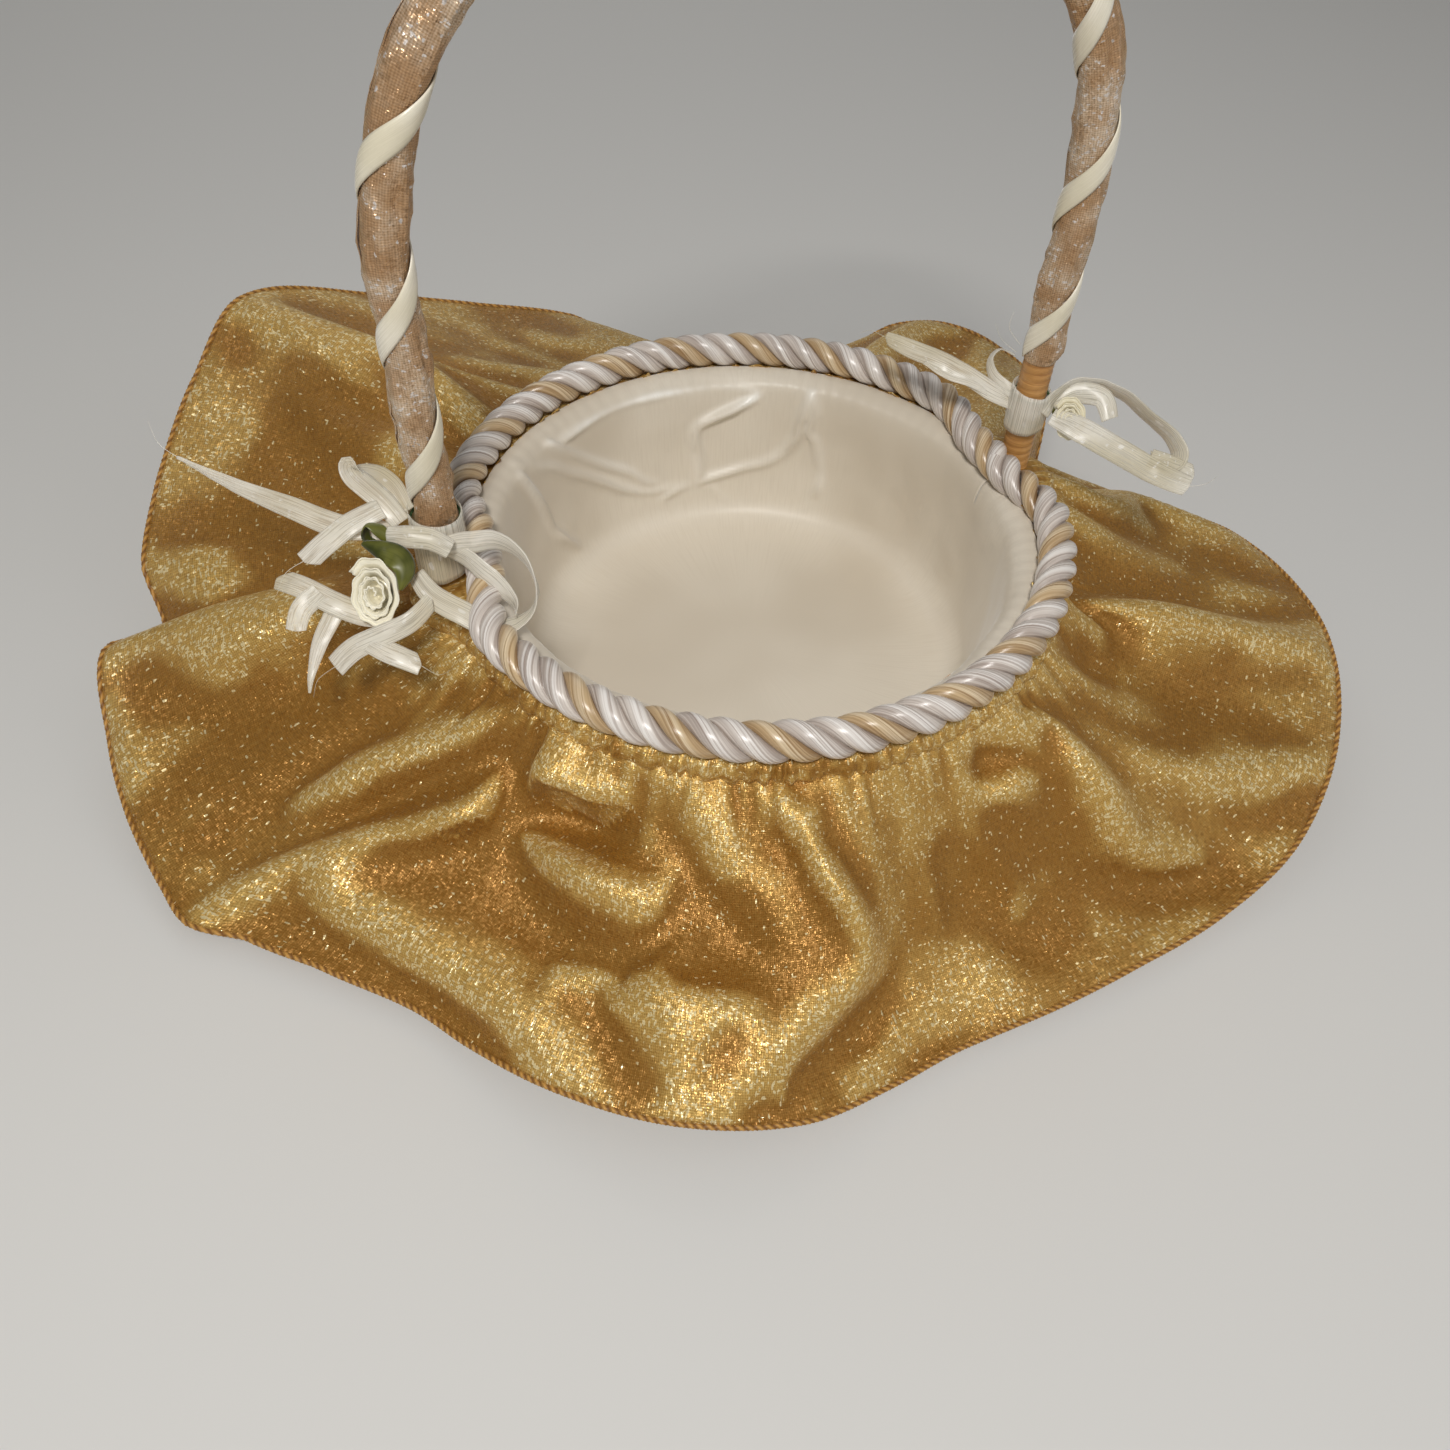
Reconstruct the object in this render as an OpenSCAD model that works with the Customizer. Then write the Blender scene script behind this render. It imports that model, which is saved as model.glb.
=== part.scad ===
// Flower girl basket: a small wicker basket with a fixed arched handle, a satin lining,
// a twisted satin cord on its rim, a wide gathered organza ruffle and a ribbon bow with a
// rosebud at each end of the handle. Millimetres, +Z up. The origin is the centre of the
// foot ring's underside, and the handle's arch stands parallel to the XZ plane.

/* [Wicker basket] */
// Diameter of the circle of stakes at the rim
rim_stake_d = 141; // [125:1:190]
// Diameter of the circle of stakes at the surface
base_stake_d = 128; // [110:1:150]
// Height of the hoops' top edge above the surface
basket_h = 58.5; // [48:0.5:80]
// Number of upright stakes
stake_n = 24; // [20:2:28]
// Diameter of a stake
stake_d = 2.4; // [1.8:0.1:3]
// Height of the flat reed that is woven round the stakes
reed_h = 3.4; // [2.5:0.1:5]
// Thickness of the woven reed
reed_t = 1; // [0.7:0.1:1.4]
// Height of the two rim hoops
hoop_h = 8; // [6:0.5:11]
// Thickness of a rim hoop
hoop_t = 1.8; // [1.2:0.1:2.6]
// Thickness of the wooden base board
board_t = 4; // [3:0.5:7]
// Height of the foot ring under the board
foot_h = 5; // [4:0.5:9]

/* [Handle] */
// Diameter of the rattan core of the handle
core_d = 6; // [5:0.5:8]
// Thickness of the cane binding round the core
cane_t = 0.9; // [0.6:0.05:1.4]
// Height of the handle's top above the surface, to the middle of its core
handle_h = 215; // [190:0.5:260]
// How far the handle stands behind the middle of the basket
handle_shift = 6; // [0:0.5:9]
// Length of each leg, above the cord, that is left without ribbon: on the right and the left
bare_right = 27; // [15:1:50]
bare_left = 4; // [2:1:50]
// Axial length of one turn of the satin ribbon
wrap_pitch = 35; // [28:1:50]
// Width of the ribbon wound round the handle
wrap_w = 8.5; // [4:0.5:11]

/* [Lining and padding] */
// Thickness of the padded satin lining
lining_t = 1.2; // [0.8:0.1:2]
// Thickness of the wadding under the lining's floor
pad_t = 4; // [2:0.5:8]

/* [Cord on the rim] */
// Diameter of the twisted cord
rope_d = 9.6; // [8:0.2:11]
// Number of full twists of the cord round the rim
rope_turns = 22; // [18:1:26]

/* [Ruffle] */
// Size of the ruffle's hem, as a share of the hem given below
hem_scale = 1; // [0.9:0.01:1.2]
// Thickness that stands for the folded cloth
ruffle_t = 1; // [0.8:0.1:2]

/* [Bows] */
// Width of the bows' ribbon
ribbon_w = 6.4; // [5:0.2:8]
// Length of a bow's loop
loop_l = 22; // [16:1:28]
// Width of the rosebud
bud_d = 12; // [9:0.5:14]

/* [Hidden] */

$fn = 48;
gap = 0.15;           // free space between pieces that lie against each other
lap = 0.01;           // how far a cutter runs past what it cuts

// The wall's line, from its foot to the rim
wall_lean = atan((rim_stake_d - base_stake_d) / 2 / basket_h);
function wall_r(z) = base_stake_d / 2 + z * tan(wall_lean);
stake_reach = stake_d / 2 / cos(wall_lean);
stake_socket = 3;     // depth of the stakes' holes in the foot ring
hole_gap = 0.1;       // radial room of a stake in its hole

// The board and the foot ring
floor_z = foot_h + board_t;
board_r = wall_r(foot_h) + stake_d + 1.5;
foot_w = 7.5;         // radial width of the foot ring
foot_inner_r = board_r - foot_w;
tack_n = 6;
tack_d = 1.6;
tack_head_d = 3;
tack_head_h = 0.8;
tack_bite = 2.5;      // depth of the tacks' points in the board
tack_ring_r = foot_inner_r + tack_head_d / 2 + 0.6;

// The woven rows
row_pitch = reed_h + 0.8;
row_z0 = floor_z + 0.4;
row_n = floor((basket_h - hoop_h - 0.4 - row_z0) / row_pitch);
weave_a = stake_reach + reed_t / 2 + gap + reed_h / 2 * tan(wall_lean);
wave_steps = 6;       // points on the weave's wave for each stake

// The hoops, inside and outside the stakes, and the strips that lash them together
hoop_z = basket_h - hoop_h;
hoop_in_or = wall_r(hoop_z) - stake_reach - gap;
hoop_in_ir = hoop_in_or - hoop_t;
hoop_out_ir = wall_r(basket_h) + stake_reach + gap;
hoop_out_or = hoop_out_ir + hoop_t;
lash_t = 0.6;
lash_w = 2.6;
lash_in_r = hoop_in_ir - gap - lash_t;
lash_out_r = hoop_out_or + gap + lash_t;

// The handle: two upright legs outside the outer hoop, and a half circle above them
core_r = core_d / 2;
sleeve_gap = 0.05;
cane_r = core_r + sleeve_gap + cane_t;
leg_r = hoop_out_or + gap + cane_r;
leg_a = asin(handle_shift / leg_r);
leg_x = leg_r * cos(leg_a);
arch_z = handle_h - leg_x;
leg_foot_z = floor_z + 5;
organza_t = 0.5;
organza_r = cane_r + sleeve_gap + organza_t;
satin_gap = 0.2;      // clears the flats of the ribbon between its rings
satin_t = 0.4;
satin_r = organza_r + satin_gap + satin_t;
brad_d = 1.4;
brad_head_d = 3;
brad_head_t = 0.5;
brad_z = hoop_z + hoop_h / 2;
tie_row = 4;          // the tie lies under this woven row, counted from 0
tie_t = 0.5;
tie_z = row_z0 + tie_row * row_pitch - (row_pitch - reed_h + tie_t) / 2;

// The lining: a wall that folds over the hoops, and a padded floor
lining_foot_z = floor_z + 1.7;
lining_foot_r = wall_r(lining_foot_z) - weave_a - reed_t / 2 - 2 * gap;
lining_top_r = min(lash_in_r - gap, wall_r(hoop_z) - weave_a - reed_t / 2 - 2 * gap);
lip_z = basket_h + lash_t + 2 * gap;
lip_r = hoop_out_ir;
card_t = 1.5;
card_r = lining_foot_r - lining_t - gap;
pad_z = floor_z + gap + card_t + gap;
cover_z = pad_z + pad_t + gap;
cover_t = 1.2;

// The cord on the rim: three strands round one line, which dips inwards behind each leg
rope_z = lip_z + lining_t + 2 * gap + rope_d / 2;
rope_line_r = lash_out_r + 1;
strand_r = rope_d * 0.213;
gold_strand_r = rope_d * 0.185;
strand_orbit_r = rope_d / 2 - strand_r;
dip_depth = max(0, rope_line_r + rope_d / 2 + 2 * gap - (leg_r - cane_r));
dip_w = 24;           // half the dip's width, in degrees
dip_flat = 4;         // half the width of its flat bottom, in degrees
rope_step_n = 9;      // rings on each twist
// The angle between direction a and the nearer leg, seen from above
function leg_gap(a) = let (b = (a + 810) % 360 - 90) min(abs(b - leg_a), abs(b - 180 + leg_a));
// From 1 within flat degrees of a leg to 0 at reach degrees
function near_leg(a, flat, reach) = let (d = leg_gap(a))
    d < flat ? 1 : d < reach ? (1 + cos(180 * (d - flat) / (reach - flat))) / 2 : 0;
function rope_r(a) = rope_line_r - dip_depth * near_leg(a, dip_flat, dip_w);

// The ruffle's heading: a band outside the hoops that passes round the legs
heading_t = 1.4;
heading_h = 6;
heading_z = basket_h - heading_h - 0.6;
heading_ir = lash_out_r + 2 * gap;
heading_swell = leg_r + cane_r + brad_head_t + 2 * gap - heading_ir;
swell_w = 14;         // half the swelling's width, in degrees
swell_flat = 4;       // half the width of its flat top, in degrees
function heading_r(a) = heading_ir + heading_swell * near_leg(a, swell_flat, swell_w);

// The hem of the ruffle: [angle, radius, height], anticlockwise from +X
hem = [
    [2, 166, 15], [10, 161, 9], [18, 154, 4], [24, 138, 4], [31, 166, 18], [39, 172, 26],
    [46, 173, 28], [52, 171, 24], [56, 166, 16], [62, 156, 6], [72, 152, 5], [84, 164, 11],
    [92, 171, 25], [103, 175, 35], [113, 178, 47], [129, 180, 66], [137, 179, 54], [147, 176, 38],
    [155, 172, 27], [160, 164, 16], [166, 172, 26], [173, 171, 14], [181, 167, 9], [188, 163, 5],
    [193, 160, 4], [197, 150, 4], [204, 140, 4], [214, 132, 4], [222, 132, 5], [232, 135, 10],
    [245, 138, 14], [256, 135, 10], [265, 128, 5], [274, 124, 4], [285, 126, 4], [297, 132, 4],
    [308, 142, 4], [319, 154, 8], [330, 162, 15], [342, 167, 20], [352, 168, 19],
];
hem_n = len(hem);
hem_step = 3;         // degrees between the ruffle's ribs
ruffle_rings = 5;
ruffle_bulge = 9;     // how far the ruffle stands above a straight line to its hem
hem_wire_d = 1.2;

function hem_row(i) = let (turn = floor(i / hem_n), row = hem[i - turn * hem_n])
    [row[0] + 360 * turn, row[1], row[2]];
function hem_index(a, i = 0) = i + 1 >= hem_n || hem[i + 1][0] > a ? i : hem_index(a, i + 1);
function hem_span(a) = a < hem[0][0] ? -1 : hem_index(a);
function smooth(p, q, r, s, t) = ((2 * q) + (r - p) * t + (2 * p - 5 * q + 4 * r - s) * t * t
    + (3 * q - p - 3 * r + s) * t * t * t) / 2;
function hem_at(a) = let (
    i = hem_span(a), p = hem_row(i - 1), q = hem_row(i), r = hem_row(i + 1), s = hem_row(i + 2),
    t = (a - q[0]) / (r[0] - q[0])
) [hem_scale * smooth(p[1], q[1], r[1], s[1], t), max(hem[2][2] - 0.6, smooth(p[2], q[2], r[2], s[2], t))];
ruffle_z0 = heading_z + heading_h / 2;
function ruffle_point(a, t) = let (
    h = hem_at(a), r0 = heading_r(a) + heading_t + gap, arc = ruffle_bulge * sin(180 * t)
) [r0 + (h[0] - r0) * t + arc * 0.4, ruffle_z0 + (h[1] - ruffle_z0) * t + arc];

// The bows: each hangs at the outer side of its leg, in a frame whose +X points outwards
bow_band_t = 0.8;
bow_band_h = ribbon_w;
left_bow_z = rope_z + bare_left + ribbon_w / 2 + 2;
right_bow_z = rope_z + 13;
left_bow_r = satin_r + 2 * gap + bow_band_t;
right_bow_r = cane_r + 2 * gap + bow_band_t;
left_bud_drop = 7;    // how far a rosebud hangs below its bow's band
right_bud_drop = 1;
bud_ball = 0.35;      // radius of the bud's ball, as a share of its width
loop_t = 0.7;
loop_h = 13;
loop_foot = 3;        // width of a loop at its knot
tail_t = 0.6;
tail_l = 38;
tail_spread = 55;     // angle of each tail from straight out
tail_fall = 20;       // slope of the tails
loop_tilt = 8;
leaf_l = 13.4;
leaf_w = 6;
leaf_lean = 28;
leaf_t = 0.5;
wire_d = 0.6;

function polar(r, a, z) = [r * cos(a), r * sin(a), z];

// A closed tube or band: rings of equal length, each joined to the next, and the last to
// the first when closed is true. Each ring's points turn clockwise seen along the sweep.
module sweep(rings, closed = true) {
    n = len(rings);
    m = len(rings[0]);
    sides = [
        for (i = [0 : closed ? n - 1 : n - 2], j = [0 : m - 1])
            let (a = i * m, b = ((i + 1) % n) * m, k = (j + 1) % m)
                [a + j, a + k, b + k, b + j]
    ];
    caps = closed ? [] : [[for (j = [m - 1 : -1 : 0]) j], [for (j = [0 : m - 1]) (n - 1) * m + j]];
    polyhedron(points = [for (ring = rings) each ring], faces = concat(sides, caps), convexity = 10);
}

// A flat band on a closed line round the Z axis: radii are given for each angle.
module ring_band(angles, inner, outer, h) {
    n = len(angles);
    linear_extrude(h) polygon(
        points = concat(
            [for (i = [0 : n - 1]) [outer[i] * cos(angles[i]), outer[i] * sin(angles[i])]],
            [for (i = [0 : n - 1]) [inner[i] * cos(angles[i]), inner[i] * sin(angles[i])]]
        ),
        paths = [[for (i = [0 : n - 1]) i], [for (i = [0 : n - 1]) n + i]]
    );
}

module round_each(n, offset_a = 0) {
    for (k = [0 : n - 1]) rotate([0, 0, offset_a + k * 360 / n]) children();
}

// ---- The wicker basket

module stake(extra = 0) {
    z0 = foot_h - stake_socket;
    translate([base_stake_d / 2, 0, 0]) rotate([0, wall_lean, 0])
        translate([0, 0, z0 / cos(wall_lean)])
            cylinder(r = stake_d / 2 + extra, h = (basket_h - z0 - 1) / cos(wall_lean));
}

module tack(extra = 0) {
    translate([tack_ring_r, 0, 0.4 - extra]) cylinder(d = tack_head_d + 2 * extra, h = tack_head_h + extra);
    translate([tack_ring_r, 0, 0.4]) cylinder(d = tack_d + 2 * extra, h = foot_h - 0.4 + tack_bite + extra);
}

module tack_way() {
    translate([tack_ring_r, 0, -lap]) cylinder(d = tack_head_d + 2 * hole_gap, h = 0.5 + lap);
    tack(hole_gap);
}

module foot_ring() color("burlywood") difference() {
    cylinder(r = board_r, h = foot_h, $fn = 96);
    translate([0, 0, -lap]) cylinder(r = foot_inner_r, h = foot_h + 2 * lap, $fn = 96);
    round_each(stake_n) stake(hole_gap);
    round_each(tack_n, 180 / stake_n) tack_way();
}

module base_board() color("tan") difference() {
    translate([0, 0, foot_h]) cylinder(r = board_r, h = board_t, $fn = 96);
    round_each(stake_n) stake(hole_gap);
    round_each(tack_n, 180 / stake_n) tack(hole_gap);
}

module base_tacks() color("goldenrod") round_each(tack_n, 180 / stake_n) tack();

module stakes() color("peru") round_each(stake_n) stake();

module weaver_row(i) {
    z = row_z0 + i * row_pitch;
    mid = wall_r(z + reed_h / 2);
    side = i % 2 == 0 ? 1 : -1;
    n = stake_n * wave_steps;
    angles = [for (k = [0 : n - 1]) k * 360 / n];
    line = [for (a = angles) mid + side * weave_a * cos(a * stake_n / 2)];
    translate([0, 0, z])
        ring_band(angles, [for (r = line) r - reed_t / 2], [for (r = line) r + reed_t / 2], reed_h);
}

module weavers() color("peru") for (i = [0 : row_n - 1]) weaver_row(i);

module hoop(inner_r, outer_r) difference() {
    translate([0, 0, hoop_z]) cylinder(r = outer_r, h = hoop_h, $fn = 96);
    translate([0, 0, hoop_z - lap]) cylinder(r = inner_r, h = hoop_h + 2 * lap, $fn = 96);
    brads(hole_gap);
}

module rim_hoop_inner() color("sienna") hoop(hoop_in_ir, hoop_in_or);

module rim_hoop_outer() color("sienna") hoop(hoop_out_ir, hoop_out_or);

module rim_lashings() color("burlywood") round_each(stake_n, 180 / stake_n)
    translate([lash_in_r, -lash_w / 2, hoop_z - gap - lash_t]) difference() {
        cube([lash_out_r - lash_in_r, lash_w, hoop_h + 2 * (gap + lash_t)]);
        translate([lash_t, -lap, lash_t])
            cube([lash_out_r - lash_in_r - 2 * lash_t, lash_w + 2 * lap, hoop_h + 2 * gap]);
    }

// ---- The handle

// A tube along the handle: solid when inner_r is 0, with the feet of its legs at the given heights
module handle_tube(outer_r, inner_r, right_z, left_z) {
    translate([leg_x, handle_shift, right_z]) pipe(outer_r, inner_r, arch_z - right_z);
    translate([-leg_x, handle_shift, left_z]) pipe(outer_r, inner_r, arch_z - left_z);
    translate([0, handle_shift, arch_z]) rotate([90, 0, 0])
        rotate_extrude(angle = 180, $fn = 96) translate([leg_x, 0]) difference() {
            circle(r = outer_r, $fn = 48);
            if (inner_r > 0) circle(r = inner_r, $fn = 48);
        }
}

module pipe(outer_r, inner_r, h) difference() {
    cylinder(r = outer_r, h = h);
    if (inner_r > 0) translate([0, 0, -lap]) cylinder(r = inner_r, h = h + 2 * lap);
}

module at_leg_angles() for (a = [leg_a, 180 - leg_a]) rotate([0, 0, a]) children();

// Brads through each leg into the outer hoop
module brads(extra = 0) at_leg_angles()
    translate([hoop_out_ir + 0.6 - extra, 0, brad_z]) rotate([0, 90, 0]) {
        reach = leg_r + cane_r - hoop_out_ir - 0.6;
        cylinder(d = brad_d + 2 * extra, h = reach + extra + gap);
        if (extra == 0) translate([0, 0, reach + gap]) cylinder(d = brad_head_d, h = brad_head_t);
    }

wrap_right_z = rope_z + bare_right;
wrap_left_z = rope_z + bare_left;

module handle_core() color("burlywood") difference() {
    handle_tube(core_r, 0, leg_foot_z, leg_foot_z);
    brads(hole_gap);
}

module handle_cane_binding() color("sandybrown") difference() {
    handle_tube(cane_r, core_r + sleeve_gap, leg_foot_z + 2, leg_foot_z + 2);
    brads(hole_gap);
}

module handle_organza_wrap() color("rosybrown")
    handle_tube(organza_r, cane_r + sleeve_gap, wrap_right_z, wrap_left_z);

module handle_brads() color("goldenrod") brads();

// The outline round a leg and the stake beside it, at a distance of extra from both
module tie_outline(extra) hull() {
    rotate(leg_a) translate([leg_r, 0]) circle(r = cane_r + gap + extra, $fn = 32);
    translate([wall_r(tie_z), 0]) circle(r = stake_reach + gap + extra, $fn = 20);
}

module handle_ties() color("darkkhaki") for (side = [0, 1]) mirror([side, 0, 0])
    translate([0, 0, tie_z]) linear_extrude(tie_t) difference() {
        tie_outline(tie_t);
        tie_outline(0);
    }

// The handle's line: [place, direction away from the arch's centre], at distance s from the
// foot of the right leg's wrap
wrap_leg = arch_z - wrap_right_z;
wrap_arc = PI * leg_x;
wrap_length = wrap_leg + wrap_arc + arch_z - wrap_left_z;
function handle_line(s) =
    s < wrap_leg ? [[leg_x, handle_shift, wrap_right_z + s], [1, 0, 0]]
    : s < wrap_leg + wrap_arc
        ? let (a = (s - wrap_leg) / wrap_arc * 180)
            [[leg_x * cos(a), handle_shift, arch_z + leg_x * sin(a)], [cos(a), 0, sin(a)]]
    : [[-leg_x, handle_shift, arch_z - (s - wrap_leg - wrap_arc)], [-1, 0, 0]];
wrap_ring_n = 18;     // rings on each turn of the ribbon
wrap_end = 2;         // length of the organza beyond the ribbon's ends
wrap_phase = 120;     // where the ribbon starts round the right leg, in degrees
function wrap_ring(s) = [
    for (corner = [[-1, 0], [-1, 1], [1, 1], [1, 0]])
        let (
            line = handle_line(s + corner[0] * wrap_w / 2),
            a = wrap_phase + 360 * s / wrap_pitch,
            r = satin_r - satin_t + corner[1] * satin_t
        ) line[0] + r * (cos(a) * line[1] + sin(a) * [0, 1, 0])
];

module handle_satin_wrap() color("ivory") {
    first = wrap_w / 2 + wrap_end;
    last = wrap_length - first;
    n = ceil((last - first) / wrap_pitch * wrap_ring_n);
    sweep([for (i = [0 : n]) wrap_ring(first + (last - first) * i / n)], closed = false);
}

// ---- The lining and padding

module disc(r, z, h) translate([0, 0, z]) cylinder(r = r, h = h, $fn = 96);

module floor_card() color("gray") disc(card_r, floor_z + gap, card_t);

module floor_pad() color("whitesmoke") disc(card_r - 1, pad_z, pad_t);

module lining_floor() color("seashell") disc(card_r - 0.5, cover_z, cover_t);

module lining_wall() color("seashell") rotate_extrude($fn = 96) polygon([
    [lining_foot_r - lining_t, lining_foot_z],
    [lining_foot_r, lining_foot_z],
    [lining_top_r, hoop_z],
    [lining_top_r, lip_z],
    [lip_r, lip_z],
    [lip_r, lip_z + lining_t],
    [lining_top_r - lining_t / 2, lip_z + lining_t],
    [lining_top_r - lining_t, lip_z + lining_t / 2],
    [lining_top_r - lining_t, hoop_z],
]);

// ---- The cord on the rim

module rope_strand(phase, r) {
    n = rope_turns * rope_step_n;
    sweep([
        for (i = [0 : n - 1])
            let (a = -360 * i / n, turn = phase + 360 * i / rope_step_n, centre = rope_r(a))
                [for (k = [0 : 5]) let (
                    b = -60 * k,
                    x = centre + strand_orbit_r * cos(turn) + r * cos(b),
                    z = rope_z + strand_orbit_r * sin(turn) + r * sin(b)
                ) polar(x, a, z)]
    ]);
}

module rope_strand_white_a() color("thistle") rope_strand(0, strand_r);

module rope_strand_white_b() color("thistle") rope_strand(120, strand_r);

module rope_strand_gold() color("wheat") rope_strand(240, gold_strand_r);

// ---- The ruffle

module ruffle_heading() color("darkgoldenrod") {
    n = 120;
    angles = [for (i = [0 : n - 1]) i * 360 / n];
    translate([0, 0, heading_z]) ring_band(
        angles,
        [for (a = angles) heading_r(a)],
        [for (a = angles) heading_r(a) + heading_t],
        heading_h
    );
}

module ruffle() color("goldenrod") sweep([
    for (a = [360 : -hem_step : hem_step]) concat(
        [for (i = [0 : ruffle_rings]) let (p = ruffle_point(a % 360, i / ruffle_rings)) polar(p[0], a, p[1])],
        [for (i = [ruffle_rings : -1 : 0]) let (p = ruffle_point(a % 360, i / ruffle_rings))
            polar(p[0] - (i == 0 ? 0 : ruffle_t * 0.4), a, p[1] - ruffle_t)]
    )
]);

module ruffle_hem() color("darkgoldenrod") sweep([
    for (a = [360 : -hem_step : hem_step]) let (p = ruffle_point(a % 360, 1))
        [for (k = [0 : 5]) let (b = -60 * k)
            polar(p[0] + hem_wire_d / 2 + 0.5 + hem_wire_d / 2 * cos(b), a,
                  p[1] - ruffle_t / 2 + hem_wire_d / 2 * sin(b))]
]);

// ---- The bows. Each is made in a frame at its leg's middle, with +X pointing outwards, and
// r is the outside of the band that ties it to the leg.

module at_left_bow() translate([-leg_x, handle_shift, left_bow_z]) rotate([0, 0, 205]) children();

module at_right_bow() translate([leg_x, handle_shift, right_bow_z]) rotate([0, 0, -10]) children();

module bow_band(r) translate([0, 0, -ribbon_w / 2]) pipe(r, r - bow_band_t, ribbon_w);

module loop_outline(inset) hull() {
    translate([0, loop_l - loop_h / 2]) circle(d = loop_h - 2 * inset, $fn = 28);
    translate([0, loop_foot / 2]) circle(d = loop_foot - 2 * inset, $fn = 20);
}

// Two loops, one to each side of the rosebud
module bow_loops(r) for (turn = [0, 180]) translate([r + gap + loop_h / 2, 0, 0])
    rotate([turn + loop_tilt, 0, 0]) translate([0, bud_d / 2 + 2 * gap, -ribbon_w / 2])
        linear_extrude(ribbon_w) difference() {
            loop_outline(0);
            loop_outline(loop_t);
        }

// Two tails that fall away to the sides
module bow_tails(r) for (side = [-1, 1])
    translate([r + gap + 4, side * (bud_d / 2 + 3.5), -ribbon_w / 2 - 2])
        rotate([0, 0, side * tail_spread]) rotate([0, tail_fall, 0])
            translate([0, -ribbon_w / 2, 0]) cube([tail_l, ribbon_w, tail_t]);

module rosebud(r, drop) translate([r + 2 * gap + max(tail_t, leaf_t) + bud_d * bud_ball, 0, -drop]) {
    sphere(r = bud_d * bud_ball);
    rotate([0, 90, 0]) cylinder(r1 = bud_d * bud_ball, d2 = bud_d, h = bud_d * 0.55);
}

// A pointed leaf is where two discs overlap. Both leaves rise from behind the rosebud.
module leaves(r) for (side = [-1, 1]) {
    disc_r = (leaf_l * leaf_l + leaf_w * leaf_w) / (4 * leaf_w);
    translate([r + gap, 0, 0]) rotate([side * leaf_lean, 0, 0]) translate([0, 0, leaf_l / 2 + 2])
        rotate([0, 90, 0]) intersection() {
            translate([0, disc_r - leaf_w / 2, 0]) cylinder(r = disc_r, h = leaf_t);
            translate([0, leaf_w / 2 - disc_r, 0]) cylinder(r = disc_r, h = leaf_t);
        }
}

module bow_wire(r) for (side = [-1, 1]) translate([0, 0, side * (ribbon_w / 2 + gap + wire_d / 2)])
    rotate_extrude() translate([r - bow_band_t + wire_d / 2, 0]) circle(d = wire_d, $fn = 16);

module left_bow_band() color("ivory") at_left_bow() bow_band(left_bow_r);

module left_bow_loops() color("ivory") at_left_bow() bow_loops(left_bow_r);

module left_bow_tails() color("ivory") at_left_bow() bow_tails(left_bow_r);

module left_rosebud() color("cornsilk") at_left_bow() rosebud(left_bow_r, left_bud_drop);

module left_leaves() color("darkolivegreen") at_left_bow() leaves(left_bow_r);

module left_bow_wire() color("darkgreen") at_left_bow() bow_wire(left_bow_r);

module right_bow_band() color("ivory") at_right_bow() bow_band(right_bow_r);

module right_bow_loops() color("ivory") at_right_bow() bow_loops(right_bow_r);

module right_bow_tails() color("ivory") at_right_bow() bow_tails(right_bow_r);

module right_rosebud() color("cornsilk") at_right_bow() rosebud(right_bow_r, right_bud_drop);

module right_leaves() color("darkolivegreen") at_right_bow() leaves(right_bow_r);

module right_bow_wire() color("darkgreen") at_right_bow() bow_wire(right_bow_r);

foot_ring();
base_board();
base_tacks();
stakes();
weavers();
rim_hoop_inner();
rim_hoop_outer();
rim_lashings();
handle_core();
handle_cane_binding();
handle_organza_wrap();
handle_satin_wrap();
handle_brads();
handle_ties();
floor_card();
floor_pad();
lining_floor();
lining_wall();
rope_strand_white_a();
rope_strand_white_b();
rope_strand_gold();
ruffle_heading();
ruffle();
ruffle_hem();
left_bow_band();
left_bow_loops();
left_bow_tails();
left_rosebud();
left_leaves();
left_bow_wire();
right_bow_band();
right_bow_loops();
right_bow_tails();
right_rosebud();
right_leaves();
right_bow_wire();
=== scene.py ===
"""Looks of a flower girl basket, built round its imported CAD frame.

A small wicker basket with a padded satin lining, a twisted cord on its rim, a wide gathered organza
ruffle, a cane-bound handle under organza and satin ribbon, and a ribbon bow with a rosebud at each
foot of the handle. Sizes are in millimetres and turn to metres where a mesh is made.
"""

import logging
import math
import random
from dataclasses import dataclass, field
from enum import Enum
from typing import Any, Callable, ClassVar, Iterable, Sequence

import bmesh
import bpy
from mathutils import Matrix, Vector, noise
from mathutils.bvhtree import BVHTree
from mathutils.kdtree import KDTree


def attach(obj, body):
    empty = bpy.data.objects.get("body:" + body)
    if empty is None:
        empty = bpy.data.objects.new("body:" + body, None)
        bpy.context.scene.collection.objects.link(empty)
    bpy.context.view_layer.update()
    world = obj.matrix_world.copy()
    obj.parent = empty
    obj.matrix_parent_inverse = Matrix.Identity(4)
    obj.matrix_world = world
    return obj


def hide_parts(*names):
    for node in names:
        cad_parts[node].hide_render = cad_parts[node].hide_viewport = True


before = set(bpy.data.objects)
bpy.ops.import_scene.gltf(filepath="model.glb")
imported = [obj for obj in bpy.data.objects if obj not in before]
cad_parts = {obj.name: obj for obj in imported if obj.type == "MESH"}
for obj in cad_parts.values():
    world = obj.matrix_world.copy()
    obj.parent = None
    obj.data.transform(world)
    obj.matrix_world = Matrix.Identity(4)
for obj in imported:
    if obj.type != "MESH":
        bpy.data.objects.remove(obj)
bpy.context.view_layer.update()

LOG = logging.getLogger("flower_girl_basket")
MM = 0.001
BODY = "root"
MERGE = 0.004  # seams and poles closer than this, in millimetres, are joined
# A wave texture repeats every tau / 20 at scale 1; this scale gives one repeat per millimetre
WAVE = 1000 * math.tau / 20
Row = Sequence[float]
Shape = Callable[[float, float], Vector]


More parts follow.
